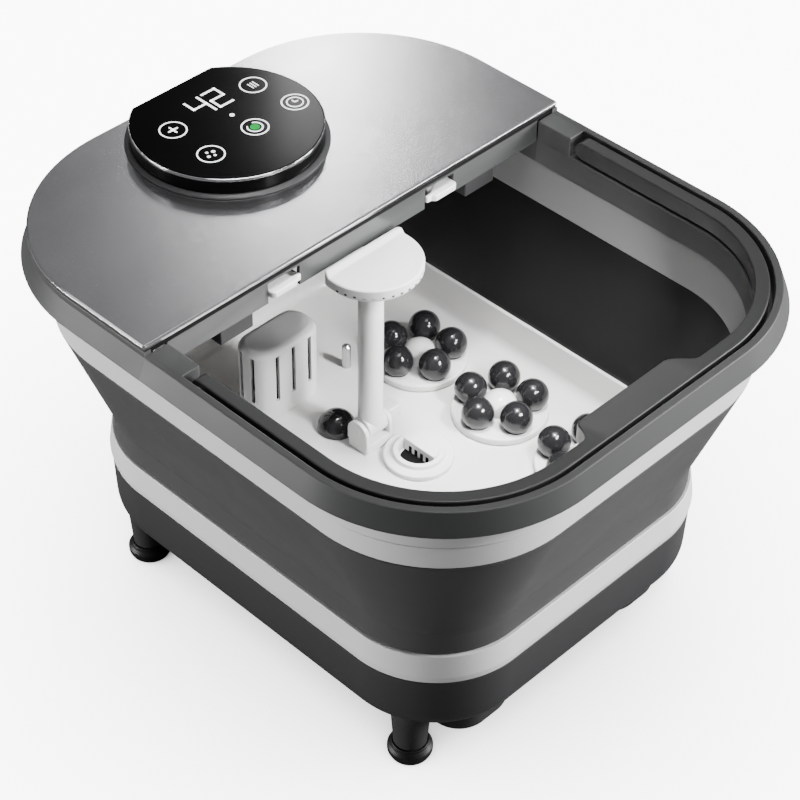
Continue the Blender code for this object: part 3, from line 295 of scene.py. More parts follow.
@dataclass(frozen=True)
class Finish:
    """One surface finish, with the values that its material is built from."""

    name: str
    slot: str
    colour: Point
    roughness: float
    metallic: float = 0.0
    coat: float = 0.0
    coat_roughness: float = 0.06
    specular: float = 0.5
    subsurface: float = 0.0
    grain: float = 1400.0
    depth: float = 0.12
    drift: float = 0.05
    drift_scale: float = 9.0
    # Edge lightening: partly wear, partly a painted edge highlight.
    wear_and_highlight: float = 0.10
    smudge: float = 0.05
    smudge_scale: float = 22.0
    flake: float = 0.0
    glow: float = 0.0

    def material(self) -> bpy.types.Material:
        """Build the finish's material, or find it if it is there.

        Returns:
            The material.
        """
        found = bpy.data.materials.get(self.name)
        if found:
            return found
        made = bpy.data.materials.new(self.name)
        made.use_nodes = True
        made.node_tree.nodes.clear()
        graph = Graph(made.node_tree)
        place = graph.add("ShaderNodeTexCoord").outputs["Object"]
        point = graph.add("ShaderNodeNewGeometry").outputs["Pointiness"]
        colour = (*self.colour, 1.0)
        tone = TONE_DRIFT.use(graph, Vector=place, Colour=colour, Amount=self.drift, Scale=self.drift_scale)
        if self.flake:
            tone = METAL_FLAKE.use(graph, Vector=place, Colour=tone, Scale=self.grain, Amount=self.flake)
        polish = SMUDGE.use(graph, Vector=place, Roughness=self.roughness, Amount=self.smudge,
                            Scale=self.smudge_scale)
        height = MOULDED_GRAIN.use(graph, Vector=place, Scale=self.grain)
        bump = graph.add("ShaderNodeBump", {"Height": height, "Strength": self.depth, "Distance": 0.0002})
        values = {
            "Base Color": EDGE_WEAR_AND_HIGHLIGHT.use(graph, Colour=tone, Pointiness=point, Amount=self.wear_and_highlight),
            "Roughness": polish, "Normal": bump.outputs[0], "Metallic": self.metallic,
            "Coat Weight": self.coat, "Coat Roughness": self.coat_roughness,
            "Specular IOR Level": self.specular, "Subsurface Weight": self.subsurface,
            "Subsurface Radius": (0.004, 0.004, 0.004), "Subsurface Scale": 0.5}
        if self.glow:
            values |= {"Emission Color": colour, "Emission Strength": self.glow}
        shader = graph.add("ShaderNodeBsdfPrincipled", values)
        graph.add("ShaderNodeOutputMaterial", {"Surface": shader.outputs[0]})
        return made


class Look(Enum):
    """The finishes of this object's pieces."""

    # Edge lightening on these finishes is partly wear and partly a painted edge highlight; the charcoal's is
    # strongest, along the rim's edges.
    CHARCOAL = Finish("charcoal_plastic", "charcoal", (0.043, 0.044, 0.044), 0.42, specular=0.16, wear_and_highlight=0.26,
                      depth=0.10)
    FACE = Finish("face_plastic", "charcoal", (0.046, 0.049, 0.048), 0.24, wear_and_highlight=0.08, depth=0.03)
    GRIP = Finish("handle_plastic", "charcoal", (0.022, 0.0222, 0.0225), 0.40, specular=0.3, wear_and_highlight=0.12,
                  depth=0.08)
    BASE = Finish("base_plastic", "charcoal", (0.030, 0.030, 0.031), 0.46, specular=0.15, wear_and_highlight=0.06)
    WALL = Finish("soft_elastomer", "soft_wall", (0.054, 0.054, 0.0545), 0.50, specular=0.15, wear_and_highlight=0.0,
                  grain=2200.0, depth=0.16, drift=0.08, smudge=0.08)
    # Near-black copy of the wall's plastic for its inside: painted shade inside the basin.
    INSIDE = Finish("soft_elastomer_painted_shade", "soft_wall", (0.009, 0.009, 0.009), 0.34, specular=0.25, wear_and_highlight=0.0,
                    depth=0.10, drift=0.08, smudge=0.08)
    WHITE = Finish("white_plastic", "white", (0.80, 0.80, 0.79), 0.30, wear_and_highlight=0.0, depth=0.05, drift=0.02,
                   subsurface=0.08, coat=0.15)
    BAND = Finish("band_plastic", "white", (0.64, 0.64, 0.64), 0.42, wear_and_highlight=0.0, depth=0.08, drift=0.03)
    # Grey copy of the white for the ring's inner face: painted shade under the rim.
    RING_INSIDE_SHADE = Finish("ring_inside_painted_shade", "white", (0.15, 0.15, 0.15), 0.36, wear_and_highlight=0.0, depth=0.05, drift=0.04)
    TRAY = Finish("tray_plastic", "white", (0.78, 0.775, 0.76), 0.26, wear_and_highlight=0.0, depth=0.05, drift=0.03,
                  subsurface=0.05, coat=0.2)
    SILVER = Finish("silver_lacquer", "silver", (0.51, 0.51, 0.52), 0.19, metallic=0.97, grain=2600.0,
                    depth=0.16, drift=0.02, wear_and_highlight=0.0, smudge=0.03, flake=0.06)
    # Dark copy in the cover's slot: partly a plinth and partly painted shadow of the panel.
    PLINTH_AND_SHADOW = Finish("plinth_and_painted_shadow", "silver", (0.035, 0.035, 0.036), 0.40, specular=0.2, wear_and_highlight=0.0,
                    depth=0.05)
    BLACK = Finish("piano_black", "black_gloss", (0.003, 0.003, 0.003), 0.22, specular=0.05, wear_and_highlight=0.0,
                   depth=0.0, smudge=0.03)
    GLASS = Finish("black_glass", "panel_glass", (0.002, 0.002, 0.002), 0.12, specular=0.04, wear_and_highlight=0.0,
                   depth=0.0, smudge=0.02)
    CHROME = Finish("bright_trim", "steel", (0.86, 0.86, 0.87), 0.14, metallic=1.0, wear_and_highlight=0.0, depth=0.02)
    RUBBER = Finish("black_rubber", "rubber", (0.006, 0.006, 0.006), 0.48, specular=0.25, wear_and_highlight=0.02,
                    grain=2000.0, depth=0.2)
    BALL = Finish("ball_plastic", "dark_ball", (0.014, 0.014, 0.015), 0.14, wear_and_highlight=0.0, depth=0.02, drift=0.10,
                  drift_scale=60.0)
    PALE = Finish("pale_plastic", "pale_grey", (0.55, 0.56, 0.56), 0.45, wear_and_highlight=0.05)
    STEEL = Finish("plain_steel", "steel", (0.56, 0.56, 0.57), 0.28, metallic=1.0, wear_and_highlight=0.05, smudge=0.08)
    NYLON = Finish("gear_nylon", "nylon", (0.70, 0.68, 0.62), 0.48, wear_and_highlight=0.05)
    BOARD = Finish("board_resist", "board", (0.02, 0.14, 0.07), 0.40, wear_and_highlight=0.0, drift=0.15, drift_scale=90.0)
    # Near-black that paints shade: in the gap under the cover plate, inside the heater and in the filter's
    # recess.
    PAINTED_SHADE = Finish("painted_shade_black", "rubber", (0.004, 0.004, 0.004), 0.8, specular=0.1, wear_and_highlight=0.0)
    WHITE_PRINT = Finish("white_print", "panel_glass", (0.85, 0.86, 0.87), 0.4, wear_and_highlight=0.0, depth=0.0, glow=2.0)
    GREEN_LIGHT = Finish("green_light", "panel_glass", (0.0, 0.28, 0.045), 0.4, specular=0.05, wear_and_highlight=0.0,
                         depth=0.0, glow=0.5)


# Surfaces


@dataclass
class Skin:
    """A closed surface as points and faces."""

    points: Array
    faces: list[list[int]]

    @classmethod
    def from_grid(cls, grid: Array, wrap: bool = False) -> Skin:
        """Skin a grid of points whose columns close on themselves.

        Args:
            grid: points as (rows, columns, 3).
            wrap: join the last row to the first; otherwise both end rows get a flat face.

        Returns:
            The skin, with its faces pointing outwards.
        """
        rows, columns = grid.shape[:2]
        index = np.arange(rows * columns).reshape(rows, columns)
        beside = np.roll(index, -1, axis=1)
        quads = np.stack([index, beside, np.roll(beside, -1, axis=0), np.roll(index, -1, axis=0)], axis=-1)
        quads = quads[:rows if wrap else rows - 1].reshape(-1, 4)
        points = grid.reshape(-1, 3)
        corner = points[quads]
        volume = np.einsum("ij,ij->", corner[:, 0], np.cross(corner[:, 1], corner[:, 2]))
        volume += np.einsum("ij,ij->", corner[:, 0], np.cross(corner[:, 2], corner[:, 3]))
        faces = quads.tolist()
        if not wrap:
            for cap in (index[0, ::-1], index[-1]):
                ring = points[cap]
                volume += np.einsum("j,ij->", ring[0], np.cross(ring[1:-1], ring[2:]))
                faces.append(cap.tolist())
        if volume < 0:
            faces = [face[::-1] for face in faces]
        return cls(points, faces)

    @classmethod
    def joined(cls, skins: Iterable[Skin]) -> Skin:
        """Put several skins into one, side by side.

        Args:
            skins: the skins, in the order that their points take.

        Returns:
            One skin with all their points and faces.
        """
        points, faces, start = [], [], 0
        for skin in skins:
            points.append(skin.points)
            faces += [[i + start for i in face] for face in skin.faces]
            start += len(skin.points)
        return cls(np.concatenate(points), faces)

    def placed(self, matrix: Matrix) -> Skin:
        """Return the skin moved by a matrix, which may also turn and stretch it."""
        move = np.array(matrix)
        return Skin(self.points @ move[:3, :3].T + move[:3, 3], self.faces)

    def moved(self, x: float = 0.0, y: float = 0.0, turn: float = 0.0) -> Skin:
        """Return the skin turned about Z and then shifted."""
        return self.placed(Matrix.Translation((x, y, 0.0)) @ Matrix.Rotation(turn, 4, "Z"))

    def mesh(self, name: str) -> bpy.types.Mesh:
        """Make a Blender mesh of the skin.

        Args:
            name: the mesh's name.

        Returns:
            The mesh.
        """
        made = bpy.data.meshes.new(name)
        made.from_pydata(self.points.tolist(), [], self.faces)
        made.update()
        return made

    def carved(self, *tools: Skin, operation: str = "DIFFERENCE") -> Skin:
        """Cut tools out of the skin, or join them to it.

        Args:
            tools: the skins to cut with, which don't touch each other.
            operation: Blender's name of the boolean operation.

        Returns:
            The changed skin.
        """
        scene = bpy.context.scene.collection.objects
        target = bpy.data.objects.new("carved", self.mesh("carved"))
        tool = bpy.data.objects.new("tool", Skin.joined(tools).mesh("tool"))
        scene.link(target)
        scene.link(tool)
        change = target.modifiers.new("cut", "BOOLEAN")
        change.operation = operation
        change.solver = "EXACT"
        change.object = tool
        bpy.context.view_layer.update()
        done = target.evaluated_get(bpy.context.evaluated_depsgraph_get()).to_mesh()
        points = np.empty(len(done.vertices) * 3)
        done.vertices.foreach_get("co", points)
        faces = [list(face.vertices) for face in done.polygons]
        bpy.data.objects.remove(target)
        bpy.data.objects.remove(tool)
        return Skin(points.reshape(-1, 3), faces)


def eased(points: Profile, radii: float | Sequence[float], steps: int = 5) -> Array:
    """Round the corners of a closed flat path with arcs.

    Each arc is a rational quadratic curve: its ends lie on the two sides, its control point is the corner and
    the corner's weight is the sine of half the angle there, which makes it part of a circle.

    Args:
        points: corners of the path.
        radii: one radius, or one for each corner.
        steps: pieces in each arc.

    Returns:
        The rounded path as (points, 2), with steps + 1 points for each corner.
    """
    corner = np.asarray(points, float)
    radius = np.broadcast_to(np.asarray(radii, float), (len(corner),))
    back, ahead = np.roll(corner, 1, axis=0) - corner, np.roll(corner, -1, axis=0) - corner
    back_length, ahead_length = np.linalg.norm(back, axis=1), np.linalg.norm(ahead, axis=1)
    back, ahead = back / back_length[:, None], ahead / ahead_length[:, None]
    half = np.arccos(np.clip(np.einsum("ij,ij->i", back, ahead), -0.99999, 0.99999)) / 2
    longest = 0.49 * np.minimum(back_length, ahead_length)
    reach = np.minimum(np.maximum(radius, 0.00005) / np.tan(half), longest)[:, None]
    s = np.linspace(0.0, 1.0, steps + 1)[None, :, None]
    weight = np.sin(half)[:, None, None]
    start, end = (corner + back * reach)[:, None], (corner + ahead * reach)[:, None]
    shares = (1 - s) ** 2, 2 * weight * s * (1 - s), s ** 2
    arcs = (shares[0] * start + shares[1] * corner[:, None] + shares[2] * end) / sum(shares)
    return arcs.reshape(-1, 2)


def open_path(points: Profile, radii: Sequence[float], steps: int = 5) -> Array:
    """Round the inner corners of a flat path whose two ends stay as they are.

    Args:
        points: corners of the path, with its ends.
        radii: one radius for each corner; those of the ends aren't used.
        steps: pieces in each arc.

    Returns:
        The rounded path as (points, 2).
    """
    corner = np.asarray(points, float)
    arcs = eased(corner, radii, steps)[steps + 1:-steps - 1]
    return np.concatenate([corner[:1], arcs, corner[-1:]])


def spaced(path: Array, longest: float) -> Array:
    """Add points to a closed path so that no side is longer than a limit.

    Args:
        path: the path as (points, 2).
        longest: the limit.

    Returns:
        The path with more points.
    """
    ahead = np.roll(path, -1, axis=0)
    counts = np.maximum(np.ceil(np.linalg.norm(ahead - path, axis=1) / longest), 1).astype(int)
    sides = [a + (b - a) * np.linspace(0, 1, n, endpoint=False)[:, None]
             for a, b, n in zip(path, ahead, counts)]
    return np.concatenate(sides)


@dataclass(frozen=True)
class RoundedBox:
    """Outline of a rectangle with round corners, one radius at the front (y0) and one at the back (y1)."""

    x0: float
    y0: float
    x1: float
    y1: float
    front: float
    back: float
    steps: int = 20
    runs: int = 6
    least: float = 0.0004

    def loop(self, inset: float = 0.0) -> Array:
        """Work out the outline: corner arcs, with straight runs between them.

        Args:
            inset: how far the outline is moved inwards.

        Returns:
            The outline as (points, 2).
        """
        front, back = max(self.front - inset, self.least), max(self.back - inset, self.least)
        x0, x1, y0, y1 = self.x0 + inset, self.x1 - inset, self.y0 + inset, self.y1 - inset
        centres = np.array([(x1 - front, y0 + front), (x1 - back, y1 - back),
                            (x0 + back, y1 - back), (x0 + front, y0 + front)])
        radii = np.array([front, back, back, front])[:, None, None]
        angle = np.radians([-90.0, 0.0, 90.0, 180.0])[:, None] + np.linspace(0, math.pi / 2, self.steps + 1)
        arcs = centres[:, None] + radii * np.stack([np.cos(angle), np.sin(angle)], axis=-1)
        share = np.linspace(0, 1, self.runs + 2)[1:-1, None]
        starts, ends = arcs[:, -1][:, None], np.roll(arcs[:, 0], -1, axis=0)[:, None]
        return np.concatenate([arcs, starts * (1 - share) + ends * share], axis=1).reshape(-1, 2)


@dataclass(frozen=True)
class CutDisc:
    """Outline of a circle about (x, y) that is cut straight at the back, cut away from its centre."""

    x: float
    y: float
    radius: float
    cut: float
    steps: int = 97
    runs: int = 9

    def loop(self, inset: float = 0.0) -> Array:
        """Work out the outline: the arc, then the straight run that closes it.

        Args:
            inset: how far the outline is moved inwards.

        Returns:
            The outline as (points, 2).
        """
        radius = self.radius - inset
        bite = math.asin((self.cut - inset) / radius)
        angle = np.linspace(math.pi - bite, 2 * math.pi + bite, self.steps)
        arc = np.column_stack([self.x + radius * np.cos(angle), self.y + radius * np.sin(angle)])
        share = np.linspace(0, 1, self.runs + 2)[1:-1, None]
        return np.concatenate([arc, arc[-1] * (1 - share) + arc[0] * share])


def raised(flat: Array, height: Array) -> Array:
    """Give a grid of (x, y) points a height for each row, which makes it (rows, columns, 3)."""
    return np.concatenate([flat, np.broadcast_to(height[:, None, None], (*flat.shape[:2], 1))], axis=-1)


def sweep(outline: RoundedBox | CutDisc, profile: Iterable[tuple[float, float]]) -> Array:
    """Carry a profile of (inset, z) points round an outline, one row of the grid for each point."""
    inset, height = np.asarray(list(profile), float).T
    return raised(np.stack([outline.loop(each) for each in inset]), height)


def swept(outline: RoundedBox | CutDisc, profile: Iterable[tuple[float, float]], wrap: bool = False) -> Skin:
    """Skin a profile that is carried round an outline; wrap closes the profile itself."""
    return Skin.from_grid(sweep(outline, profile), wrap)


def lathe(profile: Iterable[tuple[float, float]], x: float = 0.0, y: float = 0.0, count: int = 48,
          wrap: bool = False) -> Skin:
    """Turn a profile of (radius, z) points about an upright axis: x + r cos a, y + r sin a, z.

    Args:
        profile: the points to turn.
        x: the axis's place.
        y: the axis's place.
        count: points round the axis.
        wrap: join the profile's end to its start; otherwise both ends get a flat face.

    Returns:
        The turned skin.
    """
    radius, height = np.asarray(list(profile), float).T
    angle = np.linspace(0, 2 * math.pi, count, endpoint=False)
    flat = np.stack([np.cos(angle), np.sin(angle)], axis=-1) * radius[:, None, None] + np.array([x, y])
    return Skin.from_grid(raised(flat, height), wrap)


def plate(outline: Array, low: float, high: float, edge: float) -> Skin:
    """A flat plate with its edges softened.

    The softened rows are the outline drawn in along its own normals by a quarter circle of radius edge.

    Args:
        outline: the plate's outline as (points, 2).
        low: its underside.
        high: its top.
        edge: radius of its edges.

    Returns:
        The plate's skin.
    """
    ahead, behind = np.roll(outline, -1, axis=0), np.roll(outline, 1, axis=0)
    along = ahead - behind
    normal = np.stack([along[:, 1], -along[:, 0]], axis=-1)
    normal /= np.linalg.norm(normal, axis=1)[:, None]
    area = np.sum(outline[:, 0] * ahead[:, 1] - ahead[:, 0] * outline[:, 1])
    normal *= math.copysign(1.0, area)
    angle = np.linspace(0, math.pi / 2, 4)
    inward = edge * (1 - np.concatenate([np.sin(angle), np.sin(angle[::-1])]))
    height = np.concatenate([low + edge * (1 - np.cos(angle)), high - edge * (1 - np.cos(angle[::-1]))])
    return Skin.from_grid(raised(outline - normal * inward[:, None, None], height))


def block(low: Point, high: Point, edge: float, corner: float = 0.0) -> Skin:
    """A box with softened edges and, if asked, rounder upright corners.

    Args:
        low: its lowest corner.
        high: its highest corner.
        edge: radius of its edges.
        corner: radius of its upright corners, if larger.

    Returns:
        The box's skin.
    """
    radius = max(corner, edge * 1.2)
    outline = RoundedBox(low[0], low[1], high[0], high[1], radius, radius, steps=4, runs=1)
    return plate(outline.loop(), low[2], high[2], edge)


def rod(profile: Profile, centre: Point, axis: str) -> Skin:
    """A turned piece laid along X or Y: profile is (radius, place along the axis from centre)."""
    lay = Matrix.Rotation(math.pi / 2, 4, "Y") if axis == "X" else Matrix.Rotation(-math.pi / 2, 4, "X")
    return lathe(profile, count=40).placed(Matrix.Translation(centre) @ lay)


# Sub-assemblies


@dataclass
class Assembly:
    """Pieces that are built together around the frame's nodes."""

    nodes: dict[str, bpy.types.Object]

    def build(self) -> None:
        """Build every piece; each sub-assembly has its own."""
        raise NotImplementedError

    def piece(self, name: str, skin: Skin, body: str, look: Look,
              replaces: Sequence[str] = ()) -> bpy.types.Object:
        """Make one piece that rides on a body.

        Args:
            name: the piece's name.
            skin: its surface, in the frame's own place.
            body: name of the body it moves with, or nothing for a piece on no body.
            look: its finish.
            replaces: nodes of the frame that it stands for.

        Returns:
            The new object.
        """
        mesh = skin.mesh(name)
        mesh.materials.append(look.value.material())
        mesh.shade_smooth()
        mesh.set_sharp_from_angle(angle=SMOOTH_ANGLE)
        made = bpy.data.objects.new(name, mesh)
        bpy.context.scene.collection.objects.link(made)
        even = made.modifiers.new("even_shading", "WEIGHTED_NORMAL")
        even.keep_sharp = True
        if body:
            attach(made, body)
        if replaces:
            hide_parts(*replaces)
        LOG.info("%s: %d faces", name, len(skin.faces))
        return made

    def dress(self, look: Look, *names: str) -> None:
        """Give nodes of the frame a finish.

        Args:
            look: the finish.
            names: the nodes' names.
        """
        for name in names:
            mesh = self.nodes[name].data
            mesh.materials.clear()
            mesh.materials.append(look.value.material())


@dataclass
class Basin(Assembly):
    """Base, bands, soft wall and rim, all swept round one outline.

    Insets are measured inwards from the rim's top edge.
    """

    half_width: float = 0.169
    half_length: float = 0.200
    front_radius: float = 0.101
    back_radius: float = 0.108
    base_inset: float = 0.0395
    base_wall: float = 0.0025
    base_bottom: float = 0.034
    base_top: float = 0.0797
    bend: float = 0.0175
    screws: Profile = ((0.030, -0.135), (0.095, 0.060), (0.045, 0.140))
    foot_x: float = 0.1085
    foot_y: tuple[tuple[str, float], ...] = (("front", -0.1205), ("back", 0.1135))
    pod_x: float = 0.0670
    pod_half: float = 0.0285
    pod_front: float = -0.148
    pod_back: float = 0.015
    pod_bottom: float = 0.0153
    band_top: float = 0.1003
    floor: float = 0.090
    wall_bottom: float = 0.1006
    crease: float = 0.1171
    wall_top: float = 0.1989
    ring_top: float = 0.2338
    rim_top: float = 0.2503
    pad_end: float = 0.0021
    cover_front: float = 0.0280
    outline: RoundedBox = field(init=False)

    def __post_init__(self) -> None:
        """Work out the outline."""
        self.outline = RoundedBox(-self.half_width, -self.half_length, self.half_width, self.half_length,
                                  self.front_radius, self.back_radius, steps=28, runs=8)

    def ring(self, corners: Profile, radii: Sequence[float], longest: float = 0.02, steps: int = 5) -> Skin:
        """A ring round the basin whose section is a rounded polygon of (inset, z) corners."""
        return swept(self.outline, spaced(eased(corners, radii, steps), longest), wrap=True)

    def build(self) -> None:
        """Build every piece of the basin."""
        self.build_base()
        self.build_feet()
        self.build_pods()
        self.build_bands()
        self.build_wall()
        self.build_rim()

    def build_base(self) -> None:
        """Base shell: straight side, round bottom edge and flat bottom with the drain's hole and screws."""
        angle = np.radians(np.linspace(0, 90, 13))
        turn = np.column_stack([np.cos(angle), np.sin(angle)])
        centre = np.array([self.base_inset + self.bend, self.base_bottom + self.bend])
        outer, inner = centre - self.bend * turn, centre - (self.bend - self.base_wall) * turn
        top = [(0.0410, self.base_top), (0.0392, self.base_top), (0.0386, self.base_top - 0.0006)]
        drain = lathe([(0.0097, 0.02), (0.0097, 0.05)], *DRAIN_AT)
        shell = swept(self.outline, np.concatenate([inner[::-1], top, outer])).carved(drain)
        self.piece("base_shell_skin", shell, Body.BASE, Look.BASE, ["base_shell"])
        head = [(0.0012, 0.0332), (0.0024, 0.0333), (0.0034, 0.0336), (0.0036, 0.0345)]
        heads = [lathe(head, sign * x, y, 20) for x, y in self.screws for _, sign in SIDES]
        self.piece("base_screws", Skin.joined(heads), Body.BASE, Look.STEEL)

    def build_feet(self) -> None:
        """Four tapered legs and four flared rubber feet."""
        leg = open_path([(0.0135, 0.0440), (0.0118, 0.0335), (0.0102, 0.0110), (0.0080, 0.0110)],
                        [0.0, 0.006, 0.0006, 0.0], 6)
        foot = open_path([(0.0050, 0.0107), (0.0114, 0.0107), (0.0114, 0.0092), (0.0122, 0.0086),
                          (0.0137, 0.0066), (0.0137, 0.0032), (0.0122, 0.0), (0.0060, 0.0)],
                         [0, 0.0007, 0.0004, 0.0004, 0.0016, 0.0018, 0.0010, 0], 6)
        for end, y in self.foot_y:
            for side, sign in SIDES:
                name, x = f"{side}_{end}", sign * self.foot_x
                self.piece(f"leg_{name}", lathe(leg, x, y), Body.BASE, Look.BASE)
                self.piece(f"foot_{name}_skin", lathe(foot, x, y), Body.BASE, Look.RUBBER, [f"foot_{name}"])

    def build_pods(self) -> None:
        """Two motor pods under the base."""
        low, high = self.pod_bottom, self.base_bottom + 0.0002
        section = open_path([(0.012, high), (0.0, high), (0.0022, low), (0.012, low)],
                            [0, 0.0004, 0.0045, 0], 7)
        for side, sign in SIDES:
            name, centre = f"motor_pod_{side}", sign * self.pod_x
            tub = RoundedBox(centre - self.pod_half, self.pod_front, centre + self.pod_half, self.pod_back,
                             0.022, 0.022, steps=14)
            self.piece(f"{name}_skin", swept(tub, section), Body.BASE, Look.BASE, [name])

    def build_bands(self) -> None:
        """White band on the base, the two-step white ring under the rim, and a grey sheet over the ring's
        inner face that is painted shade.
        """
        band = [(0.0385, 0.0800), (0.0375, 0.0851), (0.0397, self.band_top), (0.0441, self.band_top),
                (0.0441, 0.0830), (0.0481, 0.0830), (0.0481, 0.0800)]
        radii = [0.0007, 0.006, 0.0008, 0.0003, 0.0003, 0.0003, 0.0003]
        self.piece("lower_band_skin", self.ring(band, radii), Body.BASE, Look.BAND, ["lower_band"])
        groove = [(0.0100, 0.2160), (0.0112, 0.2162), (0.0112, 0.2172), (0.0098, 0.2176)]
        outer = [(0.0120, 0.1992), *groove, (0.0098, 0.2184), (0.0069, 0.2198), (0.0065, self.ring_top),
                 (0.0150, self.ring_top), (0.0165, 0.1992)]
        radii = [0.0012, 0.0002, 0.0001, 0.0001, 0.0002, 0.0004, 0.0009, 0.0004, 0.0004, 0.0004]
        self.piece("upper_ring_skin", self.ring(outer, radii), Body.UPPER, Look.BAND, ["upper_ring"])
        # A grey sheet over the ring's inner face, which is the same white plastic: painted shade under the
        # rim.
        inner = [(0.0165, self.ring_top), (0.0157, 0.2237), (0.0187, 0.2237), (0.0235, 0.1940),
                 (0.0190, 0.1940), (0.0166, 0.1993)]
        radii = [0.0003, 0.0004, 0.0006, 0.0012, 0.0008, 0.0004]
        self.piece("upper_ring_painted_shade", self.ring(inner, radii), Body.UPPER, Look.RING_INSIDE_SHADE)

    def build_wall(self) -> None:
        """Soft wall: an upright foot, a soft crease and a flared cone that reaches out past the base."""
        low, bent, top = self.crease, self.crease + 0.0014, self.wall_top
        outside = [(0.0414, self.wall_bottom), (0.0414, low), (0.0120, top), (0.0147, top), (0.0441, bent),
                   (0.0441, self.wall_bottom)]
        skin = self.ring(outside, [0.0005, 0.010, 0.0006, 0.0006, 0.008, 0.0005], 0.004, 8)
        wall = self.piece("soft_wall_skin", skin, "", Look.WALL, ["soft_wall"])
        # A near-black sheet over the wall's inner face, the same soft plastic: painted shade inside the
        # basin.
        inside = [(0.0444, self.wall_bottom + 0.0002), (0.0444, bent), (0.0152, top - 0.0004),
                  (0.0145, top - 0.0004), (0.0437, bent), (0.0437, self.wall_bottom + 0.0002)]
        skin = self.ring(inside, [0.0003, 0.008, 0.0003, 0.0003, 0.008, 0.0003], 0.004, 8)
        painted_shade_piece = self.piece("soft_wall_inside", skin, "", Look.INSIDE)
        for piece in (wall, painted_shade_piece):
            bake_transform(piece)

    def build_rim(self) -> None:
        """Rim: a low front with ledge, handle seat and pads, and a raised back that meets the cover."""
        top, reach = self.rim_top, 0.3
        skirt = [(-0.0035, 0.2360), (-0.0008, 0.2360)]
        seat = [(0.0065, 0.2368), (0.0187, 0.2368), (0.0197, 0.2203), (0.0160, 0.2203), (0.0160, 0.2341),
                (0.0038, 0.2341)]
        front = [skirt[0], (0.0018, top), (0.0065, top), *seat, (0.0038, 0.2476), skirt[1]]
        back = [skirt[0], (0.0016, 0.2500), (0.0022, 0.2534), (0.0065, 0.2534), *seat, (0.0038, 0.2500),
                skirt[1]]
        radii = [0.0010, 0.0007, 0.0006, 0.0010, 0.0006, 0.0004, 0.0004, 0.0004, 0.0006, 0.0005]
        pads = []
        for _, sign in SIDES:
            low, high = sorted((sign * (self.half_width - 0.0187), sign * (self.half_width - 0.0050)))
            pads.append(block((low, self.pad_end, 0.2345), (high, self.cover_front + 0.002, top), 0.0007))
        behind = block((-reach, self.cover_front + 0.0001, 0.1), (reach, reach, 0.4), 0.0001)
        before = block((-reach, -reach, 0.1), (reach, self.cover_front, 0.4), 0.0001)
        low_part = self.ring(front, [0.0008, *radii]).carved(*pads, operation="UNION").carved(behind)
        high_part = self.ring(back, [0.0008, 0.0012, *radii]).carved(before)
        self.piece("rim_skin", Skin.joined([low_part, high_part]), Body.UPPER, Look.CHARCOAL, ["rim"])


@dataclass
class Tray(Assembly):
    """White floor inside the basin."""

    basin: Basin
    holes: tuple[Point, ...] = ((*PUMP_AT, 0.0164), (*DRAIN_AT, 0.0074), (*SHOWER_AT, 0.0043))

    def build(self) -> None:
        """Bowl with a rounded foot and the holes for pump, drain and pipe."""
        floor, crease = self.basin.floor, self.basin.crease
        path = open_path([(0.0660, floor), (0.0471, floor), (0.0471, crease), (0.0444, crease),
                          (0.0444, 0.0833), (0.0478, 0.0833), (0.0478, 0.0870), (0.0660, 0.0870)],
                         [0, 0.0060, 0.0008, 0.0008, 0.0004, 0.0004, 0.0004, 0], 8)
        cutters = [lathe([(r, floor - 0.01), (r, floor + 0.002)], x, y) for x, y, r in self.holes]
        bowl = swept(self.basin.outline, path).carved(*cutters)
        self.piece("floor_tray_skin", bowl, Body.BASE, Look.TRAY, ["floor_tray"])


